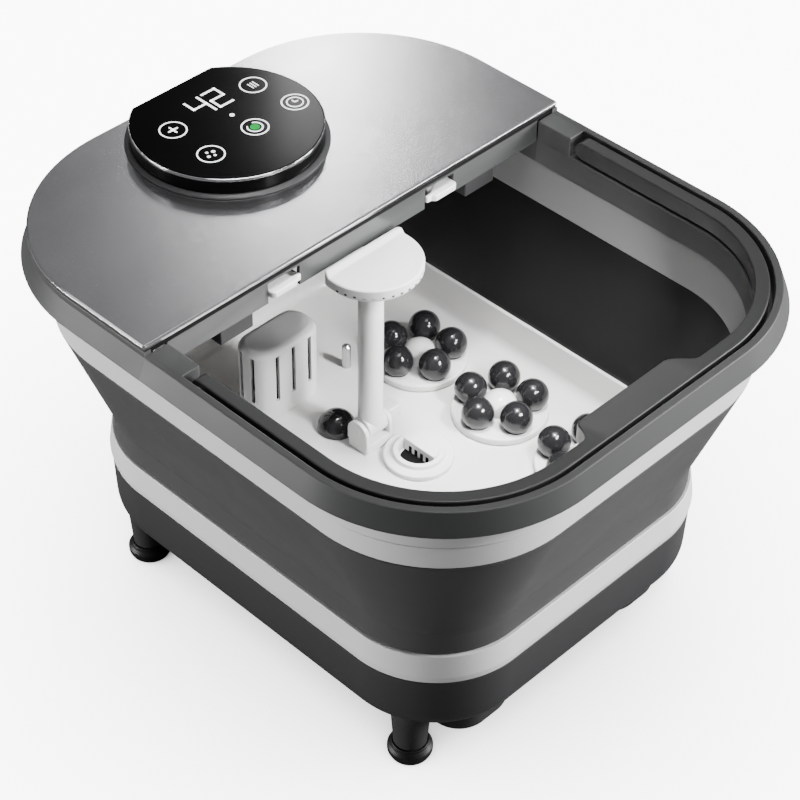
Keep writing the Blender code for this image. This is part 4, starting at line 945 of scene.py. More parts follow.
@dataclass
class Handle(Assembly):
    """U-shaped carry handle that lies in the rim's seat, with a broad grip at the front."""

    basin: Basin
    outer: float = 0.0093
    inner: float = 0.0180
    pivot_y: float = -0.0075
    pivot_z: float = 0.2437
    half_height: float = 0.0066
    edges: tuple[float, ...] = (0.0010, 0.0012, 0.0030, 0.0010)
    grip_reach: float = 0.0140
    grip_half: float = 0.0470
    grip_ramp: float = 0.0120
    grip_dip: float = 0.0034

    def stations(self) -> tuple[Array, Array, Array]:
        """Work out the places along the handle: its left half, and that half mirrored.

        Returns:
            Points on the outer side, unit directions to the inner side, and half heights.
        """
        basin = self.basin
        turn = np.radians(np.array([84, 72, 58, 42, 26, 12, 0]))
        ends_y = self.pivot_y + self.half_height * np.sin(turn)
        side_y = np.linspace(self.pivot_y, basin.front_radius - basin.half_length, 6)[1:-1]
        straight = np.concatenate([ends_y, side_y])
        left = np.column_stack([np.full(len(straight), self.outer - basin.half_width), straight])
        angle = np.linspace(math.pi, 1.5 * math.pi, 25)
        away = np.column_stack([np.cos(angle), np.sin(angle)])
        centre = np.array([basin.front_radius - basin.half_width, basin.front_radius - basin.half_length])
        corner = centre + away * (basin.front_radius - self.outer)
        front_x = np.linspace(corner[-1, 0], 0.0, 34)[1:]
        front = np.column_stack([front_x, np.full(len(front_x), self.outer - basin.half_length)])
        points = np.concatenate([left, corner, front])
        inward = np.concatenate([np.tile((1.0, 0.0), (len(left), 1)), -away,
                                 np.tile((0.0, 1.0), (len(front), 1))])
        height = np.full(len(points), self.half_height)
        height[:len(turn)] = self.half_height * np.cos(turn)
        flip = np.array([-1.0, 1.0])
        return (np.concatenate([points, points[-2::-1] * flip]),
                np.concatenate([inward, inward[-2::-1] * flip]), np.concatenate([height, height[-2::-1]]))

    def build(self) -> None:
        """Carry a rounded section along the path; the grip widens it with a smooth step and dips inwards."""
        points, inward, height = self.stations()
        share = np.clip((self.grip_half - np.abs(points[:, 0])) / self.grip_ramp, 0, 1)
        share = np.where(points[:, 1] < -0.15, share * share * (3 - 2 * share), 0.0)
        width = self.inner - self.outer + self.grip_reach * share
        turn = np.radians([180.0, 90.0, 0.0, -90.0])[:, None] - np.linspace(0, math.pi / 2, 7)
        radius = np.minimum(self.edges, height[:, None] * 0.8)[..., None]
        far, side = np.array([[False], [True], [True], [False]]), np.array([[1], [1], [-1], [-1]])
        across = np.where(far, width[:, None, None] - radius, radius) + radius * np.cos(turn)
        lift = side * (height[:, None, None] - radius) + radius * np.sin(turn)
        across, lift = across.reshape(len(points), -1), lift.reshape(len(points), -1)
        past = np.clip((across - (self.inner - self.outer) * 0.9) / self.grip_reach, 0, None)
        lift = lift - self.grip_dip * past ** 1.4
        flat = points[:, None] + inward[:, None] * across[..., None]
        grid = np.concatenate([flat, lift[..., None] + self.pivot_z], axis=-1)
        self.piece("carry_handle_skin", Skin.from_grid(grid), Body.HANDLE, Look.GRIP, ["carry_handle"])
        self.dress(Look.STEEL, "handle_pin_left", "handle_pin_right")


@dataclass
class Cover(Assembly):
    """Silver cover over the back half, its dark frame with the upright face, and the two latches."""

    basin: Basin
    inset: float = 0.0018
    plate_bottom: float = 0.2544
    plate_top: float = 0.2572
    chamfer: float = 0.0010
    face_y: float = 0.0288
    face_thick: float = 0.0025
    face_bottom: float = 0.2347
    face_top: float = 0.2541
    face_half: float = 0.1502
    latch_x: float = 0.0633
    latch_half: float = 0.0119
    latch_low: float = 0.2395
    latch_high: float = 0.2440
    notch_half: float = 0.0123
    notch_top: float = 0.2490
    catch_x: float = 0.0995

    def outline(self, inset: float, setback: float) -> RoundedBox:
        """The cover's outline, drawn in by inset and cut straight at the front."""
        basin, half = self.basin, self.basin.half_width - inset
        return RoundedBox(-half, basin.cover_front + setback, half, basin.half_length - inset, 0.002,
                          basin.back_radius - inset, steps=28)

    def build(self) -> None:
        """Build plate, frame, face, catches and latches."""
        low, high, cut = self.plate_bottom, self.plate_top, self.chamfer
        edge = open_path([(0.05, low), (0.0, low), (0.0, high - cut), (cut, high), (0.05, high)],
                         [0, 0.0003, 0.0003, 0.0003, 0], 3)
        self.piece("top_cover_skin", swept(self.outline(self.inset, 0.0), edge), Body.UPPER, Look.SILVER,
                   ["top_cover"])
        # The frame is a real dark part; its near-black also paints the shadow in the gap under the plate.
        section = eased([(0.0, 0.2506), (0.0, 0.2543), (0.006, 0.2543), (0.006, 0.2506)], 0.0003, 3)
        frame = swept(self.outline(self.inset + 0.0014, 0.0006), section, wrap=True)
        self.piece("cover_frame_skin", frame, Body.UPPER, Look.PAINTED_SHADE, ["cover_frame"])
        self.build_face()
        self.build_latches()
        self.dress(Look.BASE, "control_box")
        self.dress(Look.BOARD, "main_board")

    def build_face(self) -> None:
        """Upright face with a notch for each latch, the shelves behind it and the catches under it."""
        notches, catches = [], []
        for _, sign in SIDES:
            x = sign * self.latch_x
            notches.append(block((x - self.notch_half, 0.020, 0.2250),
                                 (x + self.notch_half, 0.040, self.notch_top), 0.0006))
            catches.append(block((x - 0.0153, 0.0306, 0.2371), (x + 0.0153, 0.0443, 0.2391), 0.0003))
            x = sign * self.catch_x
            catches.append(block((x - 0.0125, 0.0291, 0.2247), (x + 0.0125, 0.0463, 0.2372), 0.0008))
        half, low, high = self.face_half, self.face_bottom, self.face_top
        face = eased([(-half, high), (-half, low), (half, low), (half, high)],
                     [0.0004, 0.0010, 0.0010, 0.0004], 4)
        shift = Matrix.Translation((0.0, self.face_y + self.face_thick, 0.0))
        stand = shift @ Matrix.Rotation(math.pi / 2, 4, "X")
        panel = plate(face, 0.0, self.face_thick, 0.0004).placed(stand)
        self.piece("cover_face", panel.carved(*notches), Body.UPPER, Look.FACE)
        self.piece("cover_catches", Skin.joined(catches), Body.UPPER, Look.BASE)

    def build_latches(self) -> None:
        """White tongues in the notches, each with a small step at its end towards the middle."""
        half = self.latch_half
        tongue = [(-half, 0.0400), (-half, 0.0262), (0.0020 - half, 0.0246), (half - 0.0055, 0.0246),
                  (half - 0.0042, 0.0262), (half - 0.0034, 0.0270), (half, 0.0270), (half, 0.0296),
                  (half - 0.0052, 0.0300), (half - 0.0052, 0.0400)]
        radii = [0.0006, 0.0022, 0.0022, 0.0030, 0.0008, 0.0006, 0.0010, 0.0006, 0.0006, 0.0006]
        flat = eased(tongue, radii)
        for side, sign in SIDES:
            shape = flat * np.array([-sign, 1.0]) + np.array([sign * self.latch_x, 0.0])
            skin, name = plate(shape, self.latch_low, self.latch_high, 0.0009), f"latch_{side}"
            self.piece(f"{name}_skin", skin, name, Look.WHITE, [name])


@dataclass
class Panel(Assembly):
    """Touch panel: plinth, black side, bright trim, glass and the lit marks on it; the plinth's dark ring is
    partly painted shadow of the panel on the cover.
    """

    bottom: float = 0.2575
    side_top: float = 0.2675
    glass_bottom: float = 0.2678
    top: float = 0.2700
    x: float = -0.0045
    y: float = 0.1403
    radius: float = 0.0588
    cut: float = 0.0497
    sink: float = 0.0001
    mark: float = 0.00012
    key_radius: float = 0.0082
    keys: tuple[tuple[str, float, float], ...] = (
        ("plus", -0.0338, 0.1556), ("warm", 0.0323, 0.1574), ("timer", 0.0380, 0.1263),
        ("power", 0.0031, 0.1239), ("dots", -0.0340, 0.1217))
    digit_high: float = 0.0172
    digit_wide: float = 0.0100
    digit_thick: float = 0.0016

    def build(self) -> None:
        """Build the stack from the plinth to the glass, then the marks."""
        outline = CutDisc(self.x, self.y, self.radius, self.cut)
        # Dark flared ring round the panel's foot: partly a plinth, partly painted shadow of the panel on the
        # cover.
        low, high = self.bottom - 0.0001, self.bottom + 0.0018
        plinth = eased([(0.004, low), (-0.0036, low), (-0.0028, self.bottom + 0.0008), (-0.0010, high),
                        (0.004, high)], [0.0002, 0.0005, 0.0010, 0.0006, 0.0002])
        self.piece("panel_plinth", swept(outline, plinth, wrap=True), Body.UPPER, Look.PLINTH_AND_SHADOW)
        low, high = self.bottom + 0.0002, self.side_top
        side = open_path([(0.02, low), (0.0, low), (0.0, high), (0.02, high)], [0, 0.0002, 0.0006, 0], 4)
        self.piece("panel_housing_skin", swept(outline, side), Body.UPPER, Look.BLACK,
                   ["panel_housing", "touch_board"])
        low, high = self.glass_bottom, self.top
        trim = eased([(-0.0001, low), (-0.0001, high - 0.0004), (0.0004, high - 0.00005), (0.0007, low)],
                     0.0002, 4)
        self.piece("panel_trim", swept(outline, trim, wrap=True), Body.UPPER, Look.CHROME)
        glass = open_path([(0.02, low), (0.0006, low), (0.0006, high), (0.02, high)],
                          [0, 0.0002, 0.0004, 0], 4)
        self.piece("panel_glass_skin", swept(outline, glass), Body.UPPER, Look.GLASS, ["panel_glass"])
        self.build_marks()

    def ring_mark(self, x: float, y: float, radius: float, width: float, start: float = 0.0,
                  turn: float = 360.0) -> Skin:
        """A flat ring, or part of one, on the glass: radius plus or minus half the width.

        Args:
            x: its centre.
            y: its centre.
            radius: radius of its middle line.
            width: its width.
            start: where it starts, in degrees.
            turn: how far it goes round, in degrees.

        Returns:
            The ring's skin.
        """
        low, high = self.top - self.sink, self.top + self.mark
        section = np.array([(-0.5, low), (0.5, low), (0.5, high), (-0.5, high)])
        whole = turn >= 360.0
        angle = np.radians(start) + np.linspace(0, math.radians(turn), 41)[:40 if whole else 41]
        reach = radius + section[:, 0] * width
        flat = np.stack([np.cos(angle), np.sin(angle)], -1)[:, None] * reach[None, :, None] + np.array([x, y])
        height = np.broadcast_to(section[:, 1][None, :, None], (*flat.shape[:2], 1))
        return Skin.from_grid(np.concatenate([flat, height], axis=-1), wrap=whole)

    def bar(self, x: float, y: float, length: float, width: float, turn: float = 0.0,
            bevel: float = 0.45) -> Skin:
        """A flat bar on the glass whose ends taper over bevel times its width.

        Args:
            x: its centre.
            y: its centre.
            length: its length.
            width: its width.
            turn: its angle from the X axis.
            bevel: length of a tapered end over the width.

        Returns:
            The bar's skin.
        """
        end, side = length / 2, width / 2
        neck = end - width * bevel
        outline = np.array([(-end, 0), (-neck, -side), (neck, -side), (end, 0), (neck, side), (-neck, side)])
        return plate(outline, self.top - self.sink, self.top + self.mark, 0.00004).moved(x, y, turn)

    def dot(self, x: float, y: float, radius: float) -> Skin:
        """A flat round dot on the glass."""
        return lathe([(radius, self.top - self.sink), (radius, self.top + self.mark)], x, y, 28)

    def digit(self, x: float, y: float, lit: str) -> list[Skin]:
        """A seven-segment digit: a top, b and c right, d bottom, e and f left, g middle.

        Args:
            x: its centre.
            y: its centre.
            lit: letters of the segments that are lit.

        Returns:
            A bar for each lit segment.
        """
        half, quarter, side = self.digit_high / 2, self.digit_high / 4, self.digit_wide / 2
        places = {"a": (0.0, half), "g": (0.0, 0.0), "d": (0.0, -half), "b": (side, quarter),
                  "c": (side, -quarter), "f": (-side, quarter), "e": (-side, -quarter)}
        bars = []
        for segment in lit:
            dx, dy = places[segment]
            length, turn = (half, math.pi / 2) if dx else (self.digit_wide, 0.0)
            bars.append(self.bar(x + dx, y + dy, length + self.digit_thick, self.digit_thick, turn, 0.1))
        return bars

    def build_marks(self) -> None:
        """Draw the digits, the key rings and their plain symbols."""
        rings = [self.ring_mark(x, y, self.key_radius, 0.0009) for _, x, y in self.keys]
        rings.append(self.dot(0.0017, 0.1427, 0.0016))
        digits = self.digit(-0.0062, 0.1625, "fgbc") + self.digit(0.0076, 0.1625, "abged")
        place = {name: (x, y) for name, x, y in self.keys}
        upright = math.pi / 2
        x, y = place["plus"]
        symbols = [self.bar(x, y, 0.0078, 0.0013, turn) for turn in (0.0, upright)]
        x, y = place["warm"]
        symbols += [self.bar(x + dx, y, 0.0062, 0.0007, upright) for dx in (-0.0020, 0.0, 0.0020)]
        x, y = place["timer"]
        symbols += [self.ring_mark(x, y, 0.0050, 0.0008), self.bar(x, y + 0.0014, 0.0032, 0.0009, upright),
                    self.bar(x + 0.0013, y, 0.0028, 0.0009)]
        x, y = place["dots"]
        dots = ((-0.0027, -0.0012, 0.0011), (0.0010, -0.0025, 0.0009), (0.0026, 0.0010, 0.0012),
                (-0.0010, 0.0026, 0.0009))
        symbols += [self.dot(x + dx, y + dy, radius) for dx, dy, radius in dots]
        x, y = place["power"]
        symbols.append(self.ring_mark(x, y, 0.0047, 0.0009, 130.0, 300.0))
        self.piece("panel_digits", Skin.joined(digits), Body.UPPER, Look.WHITE_PRINT)
        self.piece("panel_key_rings", Skin.joined(rings), Body.UPPER, Look.WHITE_PRINT)
        self.piece("panel_symbols", Skin.joined(symbols), Body.UPPER, Look.WHITE_PRINT)
        self.piece("panel_power_light", self.dot(x, y, 0.0030), Body.UPPER, Look.GREEN_LIGHT)


@dataclass
class Rollers(Assembly):
    """Six massage rollers: a white disc with a dome, five dark balls, and the gear under it."""

    left_x: float = -0.0780
    right_x: float = 0.0720
    back_y: float = 0.0500
    pitch: float = 0.0705
    disc_radius: float = 0.0310
    disc_bottom: float = 0.0908
    disc_top: float = 0.0954
    disc_wall: float = 0.002
    dome_radius: float = 0.0119
    dome_height: float = 0.0115
    ball_radius: float = 0.0105
    ball_ring: float = 0.0206
    ball_sink: float = 0.0030
    ball_low: float = 0.0918
    balls: int = 5

    def disc(self, places: Array) -> Skin:
        """Disc with a dome in its middle and a hole for each ball.

        Args:
            places: centres of the holes as (balls, 2).

        Returns:
            The disc's skin, about the origin.
        """
        arc = np.radians(np.linspace(88, 4, 12))
        top, wall, rim = self.disc_top, self.disc_wall, self.disc_radius
        dome = np.column_stack([self.dome_radius * np.cos(arc), top + self.dome_height * np.sin(arc)])
        rest = open_path([(self.dome_radius, top + 0.0004), (self.dome_radius + 0.0012, top), (rim, top),
                          (rim, self.disc_bottom), (rim - wall, self.disc_bottom), (rim - wall, top - wall),
                          (0.0005, top - wall)], [0, 0.0008, 0.0014, 0.0004, 0.0004, 0.0004, 0])
        lift = self.ball_radius - self.ball_sink
        hole = math.sqrt(self.ball_radius ** 2 - lift ** 2) + 0.0006
        cutters = [lathe([(hole, top - 0.006), (hole, top + 0.0015)], x, y, 32) for x, y in places]
        return lathe(np.concatenate([dome, rest]), count=72).carved(*cutters)

    def build(self) -> None:
        """Build one roller about the origin, then place copies of it."""
        angle = math.pi + np.arange(self.balls) * 2 * math.pi / self.balls
        places = np.column_stack([np.cos(angle), np.sin(angle)]) * self.ball_ring
        disc = self.disc(places)
        arc = np.linspace(math.radians(87), -math.radians(80), 22)
        centre = self.disc_top + self.ball_radius - self.ball_sink
        height = np.maximum(centre + self.ball_radius * np.sin(arc), self.ball_low)
        ball = np.column_stack([self.ball_radius * np.cos(arc), height])
        web = lathe(eased([(0.0044, 0.0931), (0.027, 0.0931), (0.027, 0.0911), (0.0044, 0.0911)], 0.0003, 2),
                    wrap=True)
        carrier = Skin.joined([*(lathe(ball, x, y, 36) for x, y in places), web])
        for side, x in (("left", self.left_x), ("right", self.right_x)):
            for row, label in enumerate(ROWS):
                name, y = f"{side}_{label}", self.back_y - row * self.pitch
                for node, skin, look in ((f"roller_disc_{name}", disc, Look.WHITE),
                                         (f"roller_balls_{name}", carrier, Look.BALL)):
                    self.piece(f"{node}_skin", skin.moved(x, y), f"roller_{name}", look, [node])
                self.dress(Look.NYLON, f"roller_gear_{name}")
        self.dress(Look.STEEL, "gear_motor_left", "gear_motor_right")


@dataclass
class Heater(Assembly):
    """Slotted white housing on the floor with the heating element behind the slots."""

    x: float = -0.0160
    half: float = 0.0265
    front_y: float = 0.0740
    back_y: float = 0.1030
    bottom: float = ON_FLOOR
    top: float = 0.1437
    wall: float = 0.002
    corner: float = 0.0120
    slots: int = 3
    slot_pitch: float = 0.0135
    slot_half: float = 0.0015
    slot_low: float = 0.1037
    slot_high: float = 0.1397
    side_slots: tuple[float, ...] = (0.0835, 0.0935)
    shade_box_gap: float = 0.0045

    def slot(self, x0: float, y0: float, x1: float, y1: float) -> Skin:
        """What is cut out of the hood for one slot."""
        return block((x0, y0, self.slot_low), (x1, y1, self.slot_high), 0.0007, 0.0014)

    def build(self) -> None:
        """Hollow hood with a rolled top edge, slots in its front and two more in its left side, and a
        near-black box inside it that is painted shade behind the slots.
        """
        left, right, front, back = self.x - self.half, self.x + self.half, self.front_y, self.back_y
        outline = RoundedBox(left, front, right, back, self.corner, self.corner, steps=14)
        wall, low, top = self.wall, self.bottom, self.top
        path = open_path([(0.012, top - wall), (wall, top - wall), (wall, low), (0.0, low), (0.0, top),
                          (0.012, top)], [0, 0.004, 0.0004, 0.0004, 0.005, 0], 7)
        half, cutters = self.slot_half, []
        for number in range(self.slots):
            x = self.x + (number - (self.slots - 1) / 2) * self.slot_pitch
            cutters.append(self.slot(x - half, front - 0.003, x + half, front + 0.006))
        cutters += [self.slot(left - 0.003, y - half, left + 0.006, y + half) for y in self.side_slots]
        # A near-black box inside the hood: painted shade behind the slots.
        gap = self.shade_box_gap
        painted_shade_piece = block((left + gap, front + gap, low), (right - gap, back - gap, top - 0.0030), 0.0010, 0.008)
        self.piece("heater_painted_shade_box", painted_shade_piece, Body.BASE, Look.PAINTED_SHADE)
        self.piece("heater_housing_skin", swept(outline, path).carved(*cutters), Body.BASE, Look.WHITE,
                   ["heater_housing"])
        self.dress(Look.STEEL, "heater_element", "temperature_sensor")


@dataclass
class Shower(Assembly):
    """Riser on the floor, cross pin, post and the half-round shower head."""

    x: float = SHOWER_AT[0]
    y: float = SHOWER_AT[1]
    floor: float = ON_FLOOR
    pivot_z: float = 0.1060
    half_width: float = 0.0115
    half_length: float = 0.0085
    cheek: float = 0.0030
    post_radius: float = 0.0078
    post_top: float = 0.2247
    head_half: float = 0.0310
    head_front: float = 0.0313
    head_back: float = 0.0088
    head_bottom: float = 0.2250
    ridge: float = 0.0030
    ridge_spread: float = 0.0024
    nozzles: int = 17

    def build(self) -> None:
        """Build the fixed riser and pin, then what folds."""
        self.build_riser()
        radius, top, low = self.post_radius, self.post_top, self.pivot_z
        post = open_path([(0.0045, top), (radius, top), (radius, low), (0.0045, low - 0.004)],
                         [0.0, 0.0005, 0.003, 0.0])
        bearing = open_path([(0.0035, -0.0081), (radius, -0.0081), (radius, 0.0081), (0.0035, 0.0081)],
                            [0, 0.0012, 0.0012, 0])
        knuckle = rod(bearing, (self.x, self.y, low), "X")
        neck = eased([(0.0074, 0.2160), (0.0092, 0.2160), (0.0100, top), (0.0074, top)],
                     [0.0002, 0.0006, 0.0004, 0.0002], 4)
        collar = lathe(neck, self.x, self.y, wrap=True)
        column = Skin.joined([lathe(post, self.x, self.y), knuckle, collar])
        self.piece("shower_post_skin", column, Body.SHOWER, Look.WHITE, ["shower_post"])
        self.build_head()

    def build_riser(self) -> None:
        """Block on the floor with two round-topped cheeks, and the pin with its lever."""
        x, y, z, wide, long = self.x, self.y, self.pivot_z, self.half_width, self.half_length
        base = block((x - wide, y - long, self.floor), (x + wide, y + long, 0.0970), 0.0007, 0.0020)
        angle = np.radians(np.linspace(0, 180, 25))
        arch = np.column_stack([y + long * np.cos(angle), z - 0.0025 + long * np.sin(angle)])
        outline = np.concatenate([arch, [(y - long, 0.0960), (y + long, 0.0960)]])
        flat = plate(outline, 0.0, self.cheek, 0.0006)
        cheeks = [flat.placed(Matrix(((0, 0, 1, start), (1, 0, 0, 0), (0, 1, 0, 0), (0, 0, 0, 1))))
                  for start in (x - wide, x + wide - self.cheek)]
        self.piece("shower_riser_skin", Skin.joined([base, *cheeks]), Body.BASE, Look.WHITE, ["shower_riser"])
        shank = open_path([(0.0008, -0.0120), (0.0029, -0.0120), (0.0029, 0.0140), (0.0008, 0.0140)],
                          [0, 0.0006, 0.0004, 0], 4)
        lever = block((x + wide + 0.0003, y - 0.0045, z - 0.0045),
                      (x + wide + 0.0113, y + 0.0045, z + 0.0045), 0.0012, 0.0016)
        self.piece("shower_pin_skin", Skin.joined([rod(shank, (x, y, z), "X"), lever]), Body.BASE, Look.WHITE,
                   ["shower_pin"])

    def build_head(self) -> None:
        """Half-round head: upright side, softly domed top, a rounded ridge along its flat back, and nozzles.

        The ridge lifts the top by ridge * exp(-|(y - crest) / spread| ** 4), where crest lies just inside the
        back.
        """
        front, back = self.y - self.head_front, self.y + self.head_back
        outline = RoundedBox(self.x - self.head_half, front, self.x + self.head_half, back,
                             self.head_half - 0.0003, 0.0040, steps=24, runs=12, least=0.0008)
        low, shoulder = self.head_bottom, self.head_bottom + 0.0096
        side = open_path([(0.012, low), (0.0026, low), (0.0, low + 0.0034), (0.0, shoulder),
                          (0.0024, shoulder + 0.0003)], [0, 0.0016, 0.0020, 0.0020, 0], 6)
        shelf = np.linspace((0.0028, shoulder + 0.00034), (0.0060, shoulder + 0.0006), 7)
        rows = sweep(outline, np.concatenate([side, shelf]))
        centre = np.array([self.x, self.y - 0.010])
        shares = np.linspace(1.0, 0.02, 41)[1:]
        flat = centre + (rows[-1, :, :2] - centre) * shares[:, None, None]
        dome = raised(flat, shoulder + 0.0006 + 0.0014 * (1 - shares ** 2))
        grid = np.concatenate([rows, dome])
        crest = back - 0.0022
        lift = self.ridge * np.exp(-np.abs((grid[..., 1] - crest) / self.ridge_spread) ** 4)
        grid[..., 2] += lift * np.clip((grid[..., 2] - low - 0.0060) / 0.0036, 0.0, 1.0)
        self.piece("shower_head_skin", Skin.from_grid(grid), Body.SHOWER, Look.BAND, ["shower_head"])
        slot = lathe([(0.0010, -0.0011), (0.0010, 0.0011)], count=20)
        slot = slot.placed(Matrix.Rotation(math.pi / 2, 4, "Y") @ Matrix.Diagonal((0.75, 1, 1, 1)))
        reach, slots = self.head_half - 0.0010, []
        for angle in np.radians(np.linspace(186, 354, self.nozzles)):
            across, along = reach * math.cos(angle), reach * math.sin(angle)
            place = Matrix.Translation((self.x + across, front + self.head_half + along, low + 0.0042))
            slots.append(slot.placed(place @ Matrix.Rotation(angle, 4, "Z")))
        self.piece("shower_nozzles", Skin.joined(slots), Body.SHOWER, Look.BASE)


@dataclass
class Pump(Assembly):
    """Filter cap on the floor over the pump, and the pump's own parts."""

    x: float = PUMP_AT[0]
    y: float = PUMP_AT[1]
    low: float = ON_FLOOR
    flange: float = 0.0938
    lip: float = 0.0968
    recess: float = 0.0888
    ribs: int = 4

    def build(self) -> None:
        """Cap: flange, raised ring and a recess whose right half is bridged by the grip; near-black pieces on
        the recess floor paint the shade in the recess and its slots.
        """
        x, y, lip, flange = self.x, self.y, self.lip, self.flange
        path = open_path([(0.0006, self.recess), (0.0128, self.recess), (0.0128, lip), (0.0160, lip),
                          (0.0165, flange), (0.0222, flange), (0.0222, self.low), (0.0160, self.low),
                          (0.0160, 0.0808), (0.0006, 0.0808)],
                         [0, 0.0010, 0.0008, 0.0010, 0.0008, 0.0012, 0.0004, 0.0004, 0.0006, 0])
        angle = np.radians(np.linspace(-90, 90, 33))
        half_disc = np.column_stack([x + 0.0131 * np.cos(angle), y + 0.0131 * np.sin(angle)])
        grip = plate(half_disc, self.recess + 0.0001, lip + 0.0012, 0.0007)
        self.piece("filter_cap_skin", Skin.joined([lathe(path, x, y, 72), grip]), Body.FILTER, Look.WHITE,
                   ["filter_cap"])
        # A near-black disc on the recess floor and dark bars: painted shade in the recess and its slots.
        slots = [lathe([(0.0118, 0.0885), (0.0118, 0.0890)], x, y)]
        for middle in y + np.linspace(-0.0072, 0.0072, self.ribs):
            slots.append(block((x - 0.0003, middle - 0.0013, 0.0893),
                               (x + 0.0010, middle + 0.0013, lip - 0.0026), 0.0002))
        self.piece("filter_slots", Skin.joined(slots), Body.FILTER, Look.PAINTED_SHADE)
        self.dress(Look.PALE, "pump_body", "outlet_pipe", "drain_pipe")
        self.dress(Look.STEEL, "pump_motor")
        self.dress(Look.BASE, "impeller")


@dataclass
class Drain(Assembly):
    """Rubber drain plug with a domed knob, and the cord gland at the back."""

    floor: float = ON_FLOOR
    radius: float = 0.0125
    stem: float = 0.0070
    stem_end: float = 0.0845
    gland_at: Point = (0.0, 0.1615, 0.068)

    def build(self) -> None:
        """Turn the plug and the gland."""
        radius, floor = self.radius, self.floor
        arc = np.radians(np.linspace(87, 4, 16))
        dome = np.column_stack([radius * np.cos(arc), floor + radius * np.sin(arc)])
        foot = open_path([(radius, floor + 0.0004), (radius - 0.0004, floor), (self.stem, floor),
                          (self.stem, self.stem_end), (0.0020, self.stem_end)], [0, 0.0002, 0.0005, 0.001, 0])
        self.piece("drain_plug_skin", lathe(np.concatenate([dome, foot]), *DRAIN_AT), Body.PLUG, Look.BALL,
                   ["drain_plug"])
        profile = open_path([(0.002, -0.0065), (0.0060, -0.0065), (0.0060, 0.0003), (0.0095, 0.0003),
                             (0.0095, 0.0028), (0.0072, 0.0034), (0.0064, 0.0085), (0.0020, 0.0085)],
                            [0, 0.0004, 0.0003, 0.0008, 0.001, 0.001, 0.001, 0], 4)
        gland = rod(profile, self.gland_at, "Y")
        self.piece("cord_gland_skin", gland, Body.BASE, Look.RUBBER, ["cord_gland"])


# Surroundings


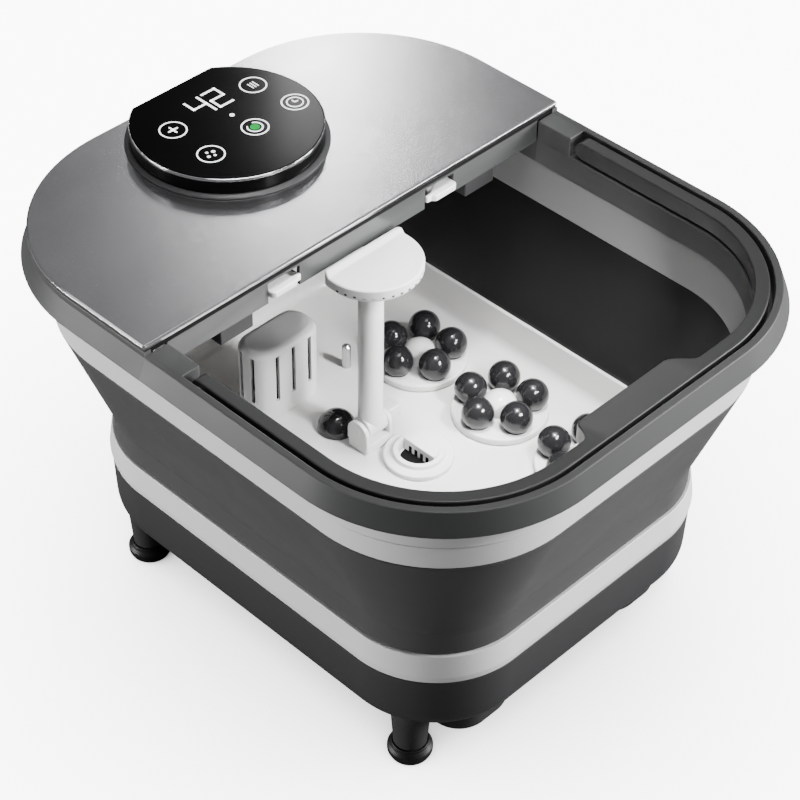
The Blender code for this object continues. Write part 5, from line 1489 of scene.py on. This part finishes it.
@dataclass
class Studio:
    """Camera, floor, soft lights and surroundings."""

    azimuth: float = math.radians(-45.908)
    elevation: float = math.radians(41.620)
    roll: float = 0.0156
    distance: float = 1.4331
    target: Point = (0.0110, 0.0079, 0.1211)
    focal_pixels: float = 2335.68
    frame_pixels: float = 800.0
    floor_size: float = 12.0
    paper_tone: float = 0.20
    paper_lift: float = 10.2
    # Painted contact shadow: how strongly and how far the floor's glow is dimmed by ambient occlusion.
    painted_shadow_power: float = 1.3
    painted_shadow_reach: float = 0.30
    sky: tuple[float, ...] = (0.95, 0.96, 0.97, 1.0)
    sky_power: float = 0.20

    def build(self) -> None:
        """Make everything round the object."""
        self.camera()
        self.floor()
        self.surroundings()
        self.softbox("key_right", (1.25, -1.10, 0.50), (0.0, -0.05, 0.14), (0.8, 0.6), 88.0)
        self.softbox("fill_left", (-1.55, 1.10, 0.16), (0.0, 0.0, 0.14), (0.9, 0.25), 52.0)
        self.softbox("sheen", (2.99, 3.26, 2.76), (0.03, 0.10, 0.257), (0.19, 1.05), 18.0)
        self.softbox("overhead", (0.10, -0.10, 1.90), (0.0, 0.0, 0.1), (1.1, 1.1), 27.0)
        self.spot("bath", (0.02, -0.09, 1.45), (0.01, -0.045, 0.16), 0.20, 215.0)
        self.spot("bath_front", (0.15, -1.00, 1.20), (-0.015, 0.045, 0.115), 0.15, 240.0)
        self.softbox("bath_glow", (0.060, -0.120, 0.215), (-0.030, 0.085, 0.135), (0.05, 0.03), 0.5)
        self.softbox("left_edge", (-1.45, 1.15, 1.25), (-0.1, 0.1, 0.25), (0.35, 0.35), 1.6)

    def camera(self) -> None:
        """Place the camera so that it sees the object as the photograph does."""
        azimuth, flat = self.azimuth, math.cos(self.elevation)
        back = Vector((math.sin(azimuth) * flat, -math.cos(azimuth) * flat, math.sin(self.elevation)))
        right = Vector((0, 0, 1)).cross(back).normalized()
        up = back.cross(right)
        cos, sin = math.cos(self.roll), math.sin(self.roll)
        axes = Matrix((right * cos + up * sin, up * cos - right * sin, back)).transposed()
        data = bpy.data.cameras.new("view")
        data.sensor_width = 36.0
        data.lens = self.focal_pixels / self.frame_pixels * data.sensor_width
        data.clip_start = 0.05
        data.clip_end = 60.0
        made = bpy.data.objects.new("view", data)
        made.matrix_world = Matrix.Translation(Vector(self.target) + back * self.distance) @ axes.to_4x4()
        bpy.context.scene.collection.objects.link(made)
        bpy.context.scene.camera = made

    def floor(self) -> None:
        """A broad pale floor."""
        size = self.floor_size
        corner = np.array([(-size, -size, 0.0), (size, -size, 0.0), (size, size, 0.0), (-size, size, 0.0)])
        mesh = Skin(corner, [[0, 1, 2, 3]]).mesh("studio_floor")
        mesh.materials.append(self.paper())
        made = bpy.data.objects.new("studio_floor", mesh)
        bpy.context.scene.collection.objects.link(made)

    def paper(self) -> bpy.types.Material:
        """White paper that looks brighter than the light it gives, with a soft painted contact shadow: its
        glow is dimmed by ambient occlusion near the object.

        Returns:
            The paper's material.
        """
        made = bpy.data.materials.new("studio_paper")
        made.use_nodes = True
        made.node_tree.nodes.clear()
        graph = Graph(made.node_tree)
        tone = (self.paper_tone, self.paper_tone, self.paper_tone, 1.0)
        sheet = graph.add("ShaderNodeBsdfDiffuse", {"Color": tone}).outputs[0]
        seen = graph.add("ShaderNodeLightPath").outputs["Is Camera Ray"]
        # Painted shadow: the camera-only glow is dimmed where the object hides the sky.
        painted_shadow_mask = graph.add("ShaderNodeAmbientOcclusion", {"Distance": self.painted_shadow_reach}).outputs["AO"]
        lit = graph.maths("MULTIPLY", seen, graph.maths("POWER", painted_shadow_mask, self.painted_shadow_power))
        strength = graph.maths("MULTIPLY", lit, self.paper_lift)
        lift = graph.add("ShaderNodeEmission", {"Strength": strength}).outputs[0]
        both = graph.add("ShaderNodeAddShader", {0: sheet, 1: lift}).outputs[0]
        graph.add("ShaderNodeOutputMaterial", {"Surface": both})
        return made

    def surroundings(self) -> None:
        """Even pale light from all round."""
        world = bpy.data.worlds.new("surroundings")
        world.use_nodes = True
        shade = world.node_tree.nodes["Background"]
        shade.inputs["Color"].default_value = self.sky
        shade.inputs["Strength"].default_value = self.sky_power
        bpy.context.scene.world = world

    def hang(self, data: bpy.types.Light, place: Point, aim: Point) -> None:
        """Put a light into the scene.

        Args:
            data: the light.
            place: where it hangs.
            aim: what it faces.
        """
        made = bpy.data.objects.new(data.name, data)
        made.location = place
        made.rotation_euler = (Vector(aim) - Vector(place)).to_track_quat("-Z", "Y").to_euler()
        made.visible_camera = False
        bpy.context.scene.collection.objects.link(made)

    def softbox(self, name: str, place: Point, aim: Point, size: tuple[float, float], power: float) -> None:
        """Add a rectangular soft light.

        Args:
            name: its name.
            place: where it hangs.
            aim: what it faces.
            size: its width and height.
            power: its power in watts.
        """
        data = bpy.data.lights.new(name, "AREA")
        data.shape = "RECTANGLE"
        data.size, data.size_y = size
        data.energy = power
        self.hang(data, place, aim)

    def spot(self, name: str, place: Point, aim: Point, angle: float, power: float) -> None:
        """Add a soft-edged spot light.

        Args:
            name: its name.
            place: where it hangs.
            aim: what it faces.
            angle: the angle of its cone.
            power: its power in watts.
        """
        data = bpy.data.lights.new(name, "SPOT")
        data.spot_size = angle
        data.spot_blend = 0.6
        data.shadow_soft_size = 0.12
        data.energy = power
        self.hang(data, place, aim)


def corners(box: tuple[Vector, Vector]) -> list[list[float]]:
    """Return a box's lowest and highest corners as plain lists."""
    return [list(point) for point in box]


def main() -> None:
    """Build the model piece by piece."""
    logging.basicConfig(level=logging.INFO, format="%(message)s")
    for item in list(bpy.data.objects):
        bpy.data.objects.remove(item, do_unlink=True)
    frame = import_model()
    nodes = frame["nodes"]
    basin = Basin(nodes)
    assemblies = [basin, Tray(nodes, basin), Handle(nodes, basin), Cover(nodes, basin)]
    assemblies += [kind(nodes) for kind in (Panel, Rollers, Heater, Shower, Pump, Drain)]
    for assembly in assemblies:
        LOG.info("building %s", type(assembly).__name__)
        assembly.build()
    Studio().build()
    bpy.context.view_layer.update()


if __name__ == "__main__":
    main()
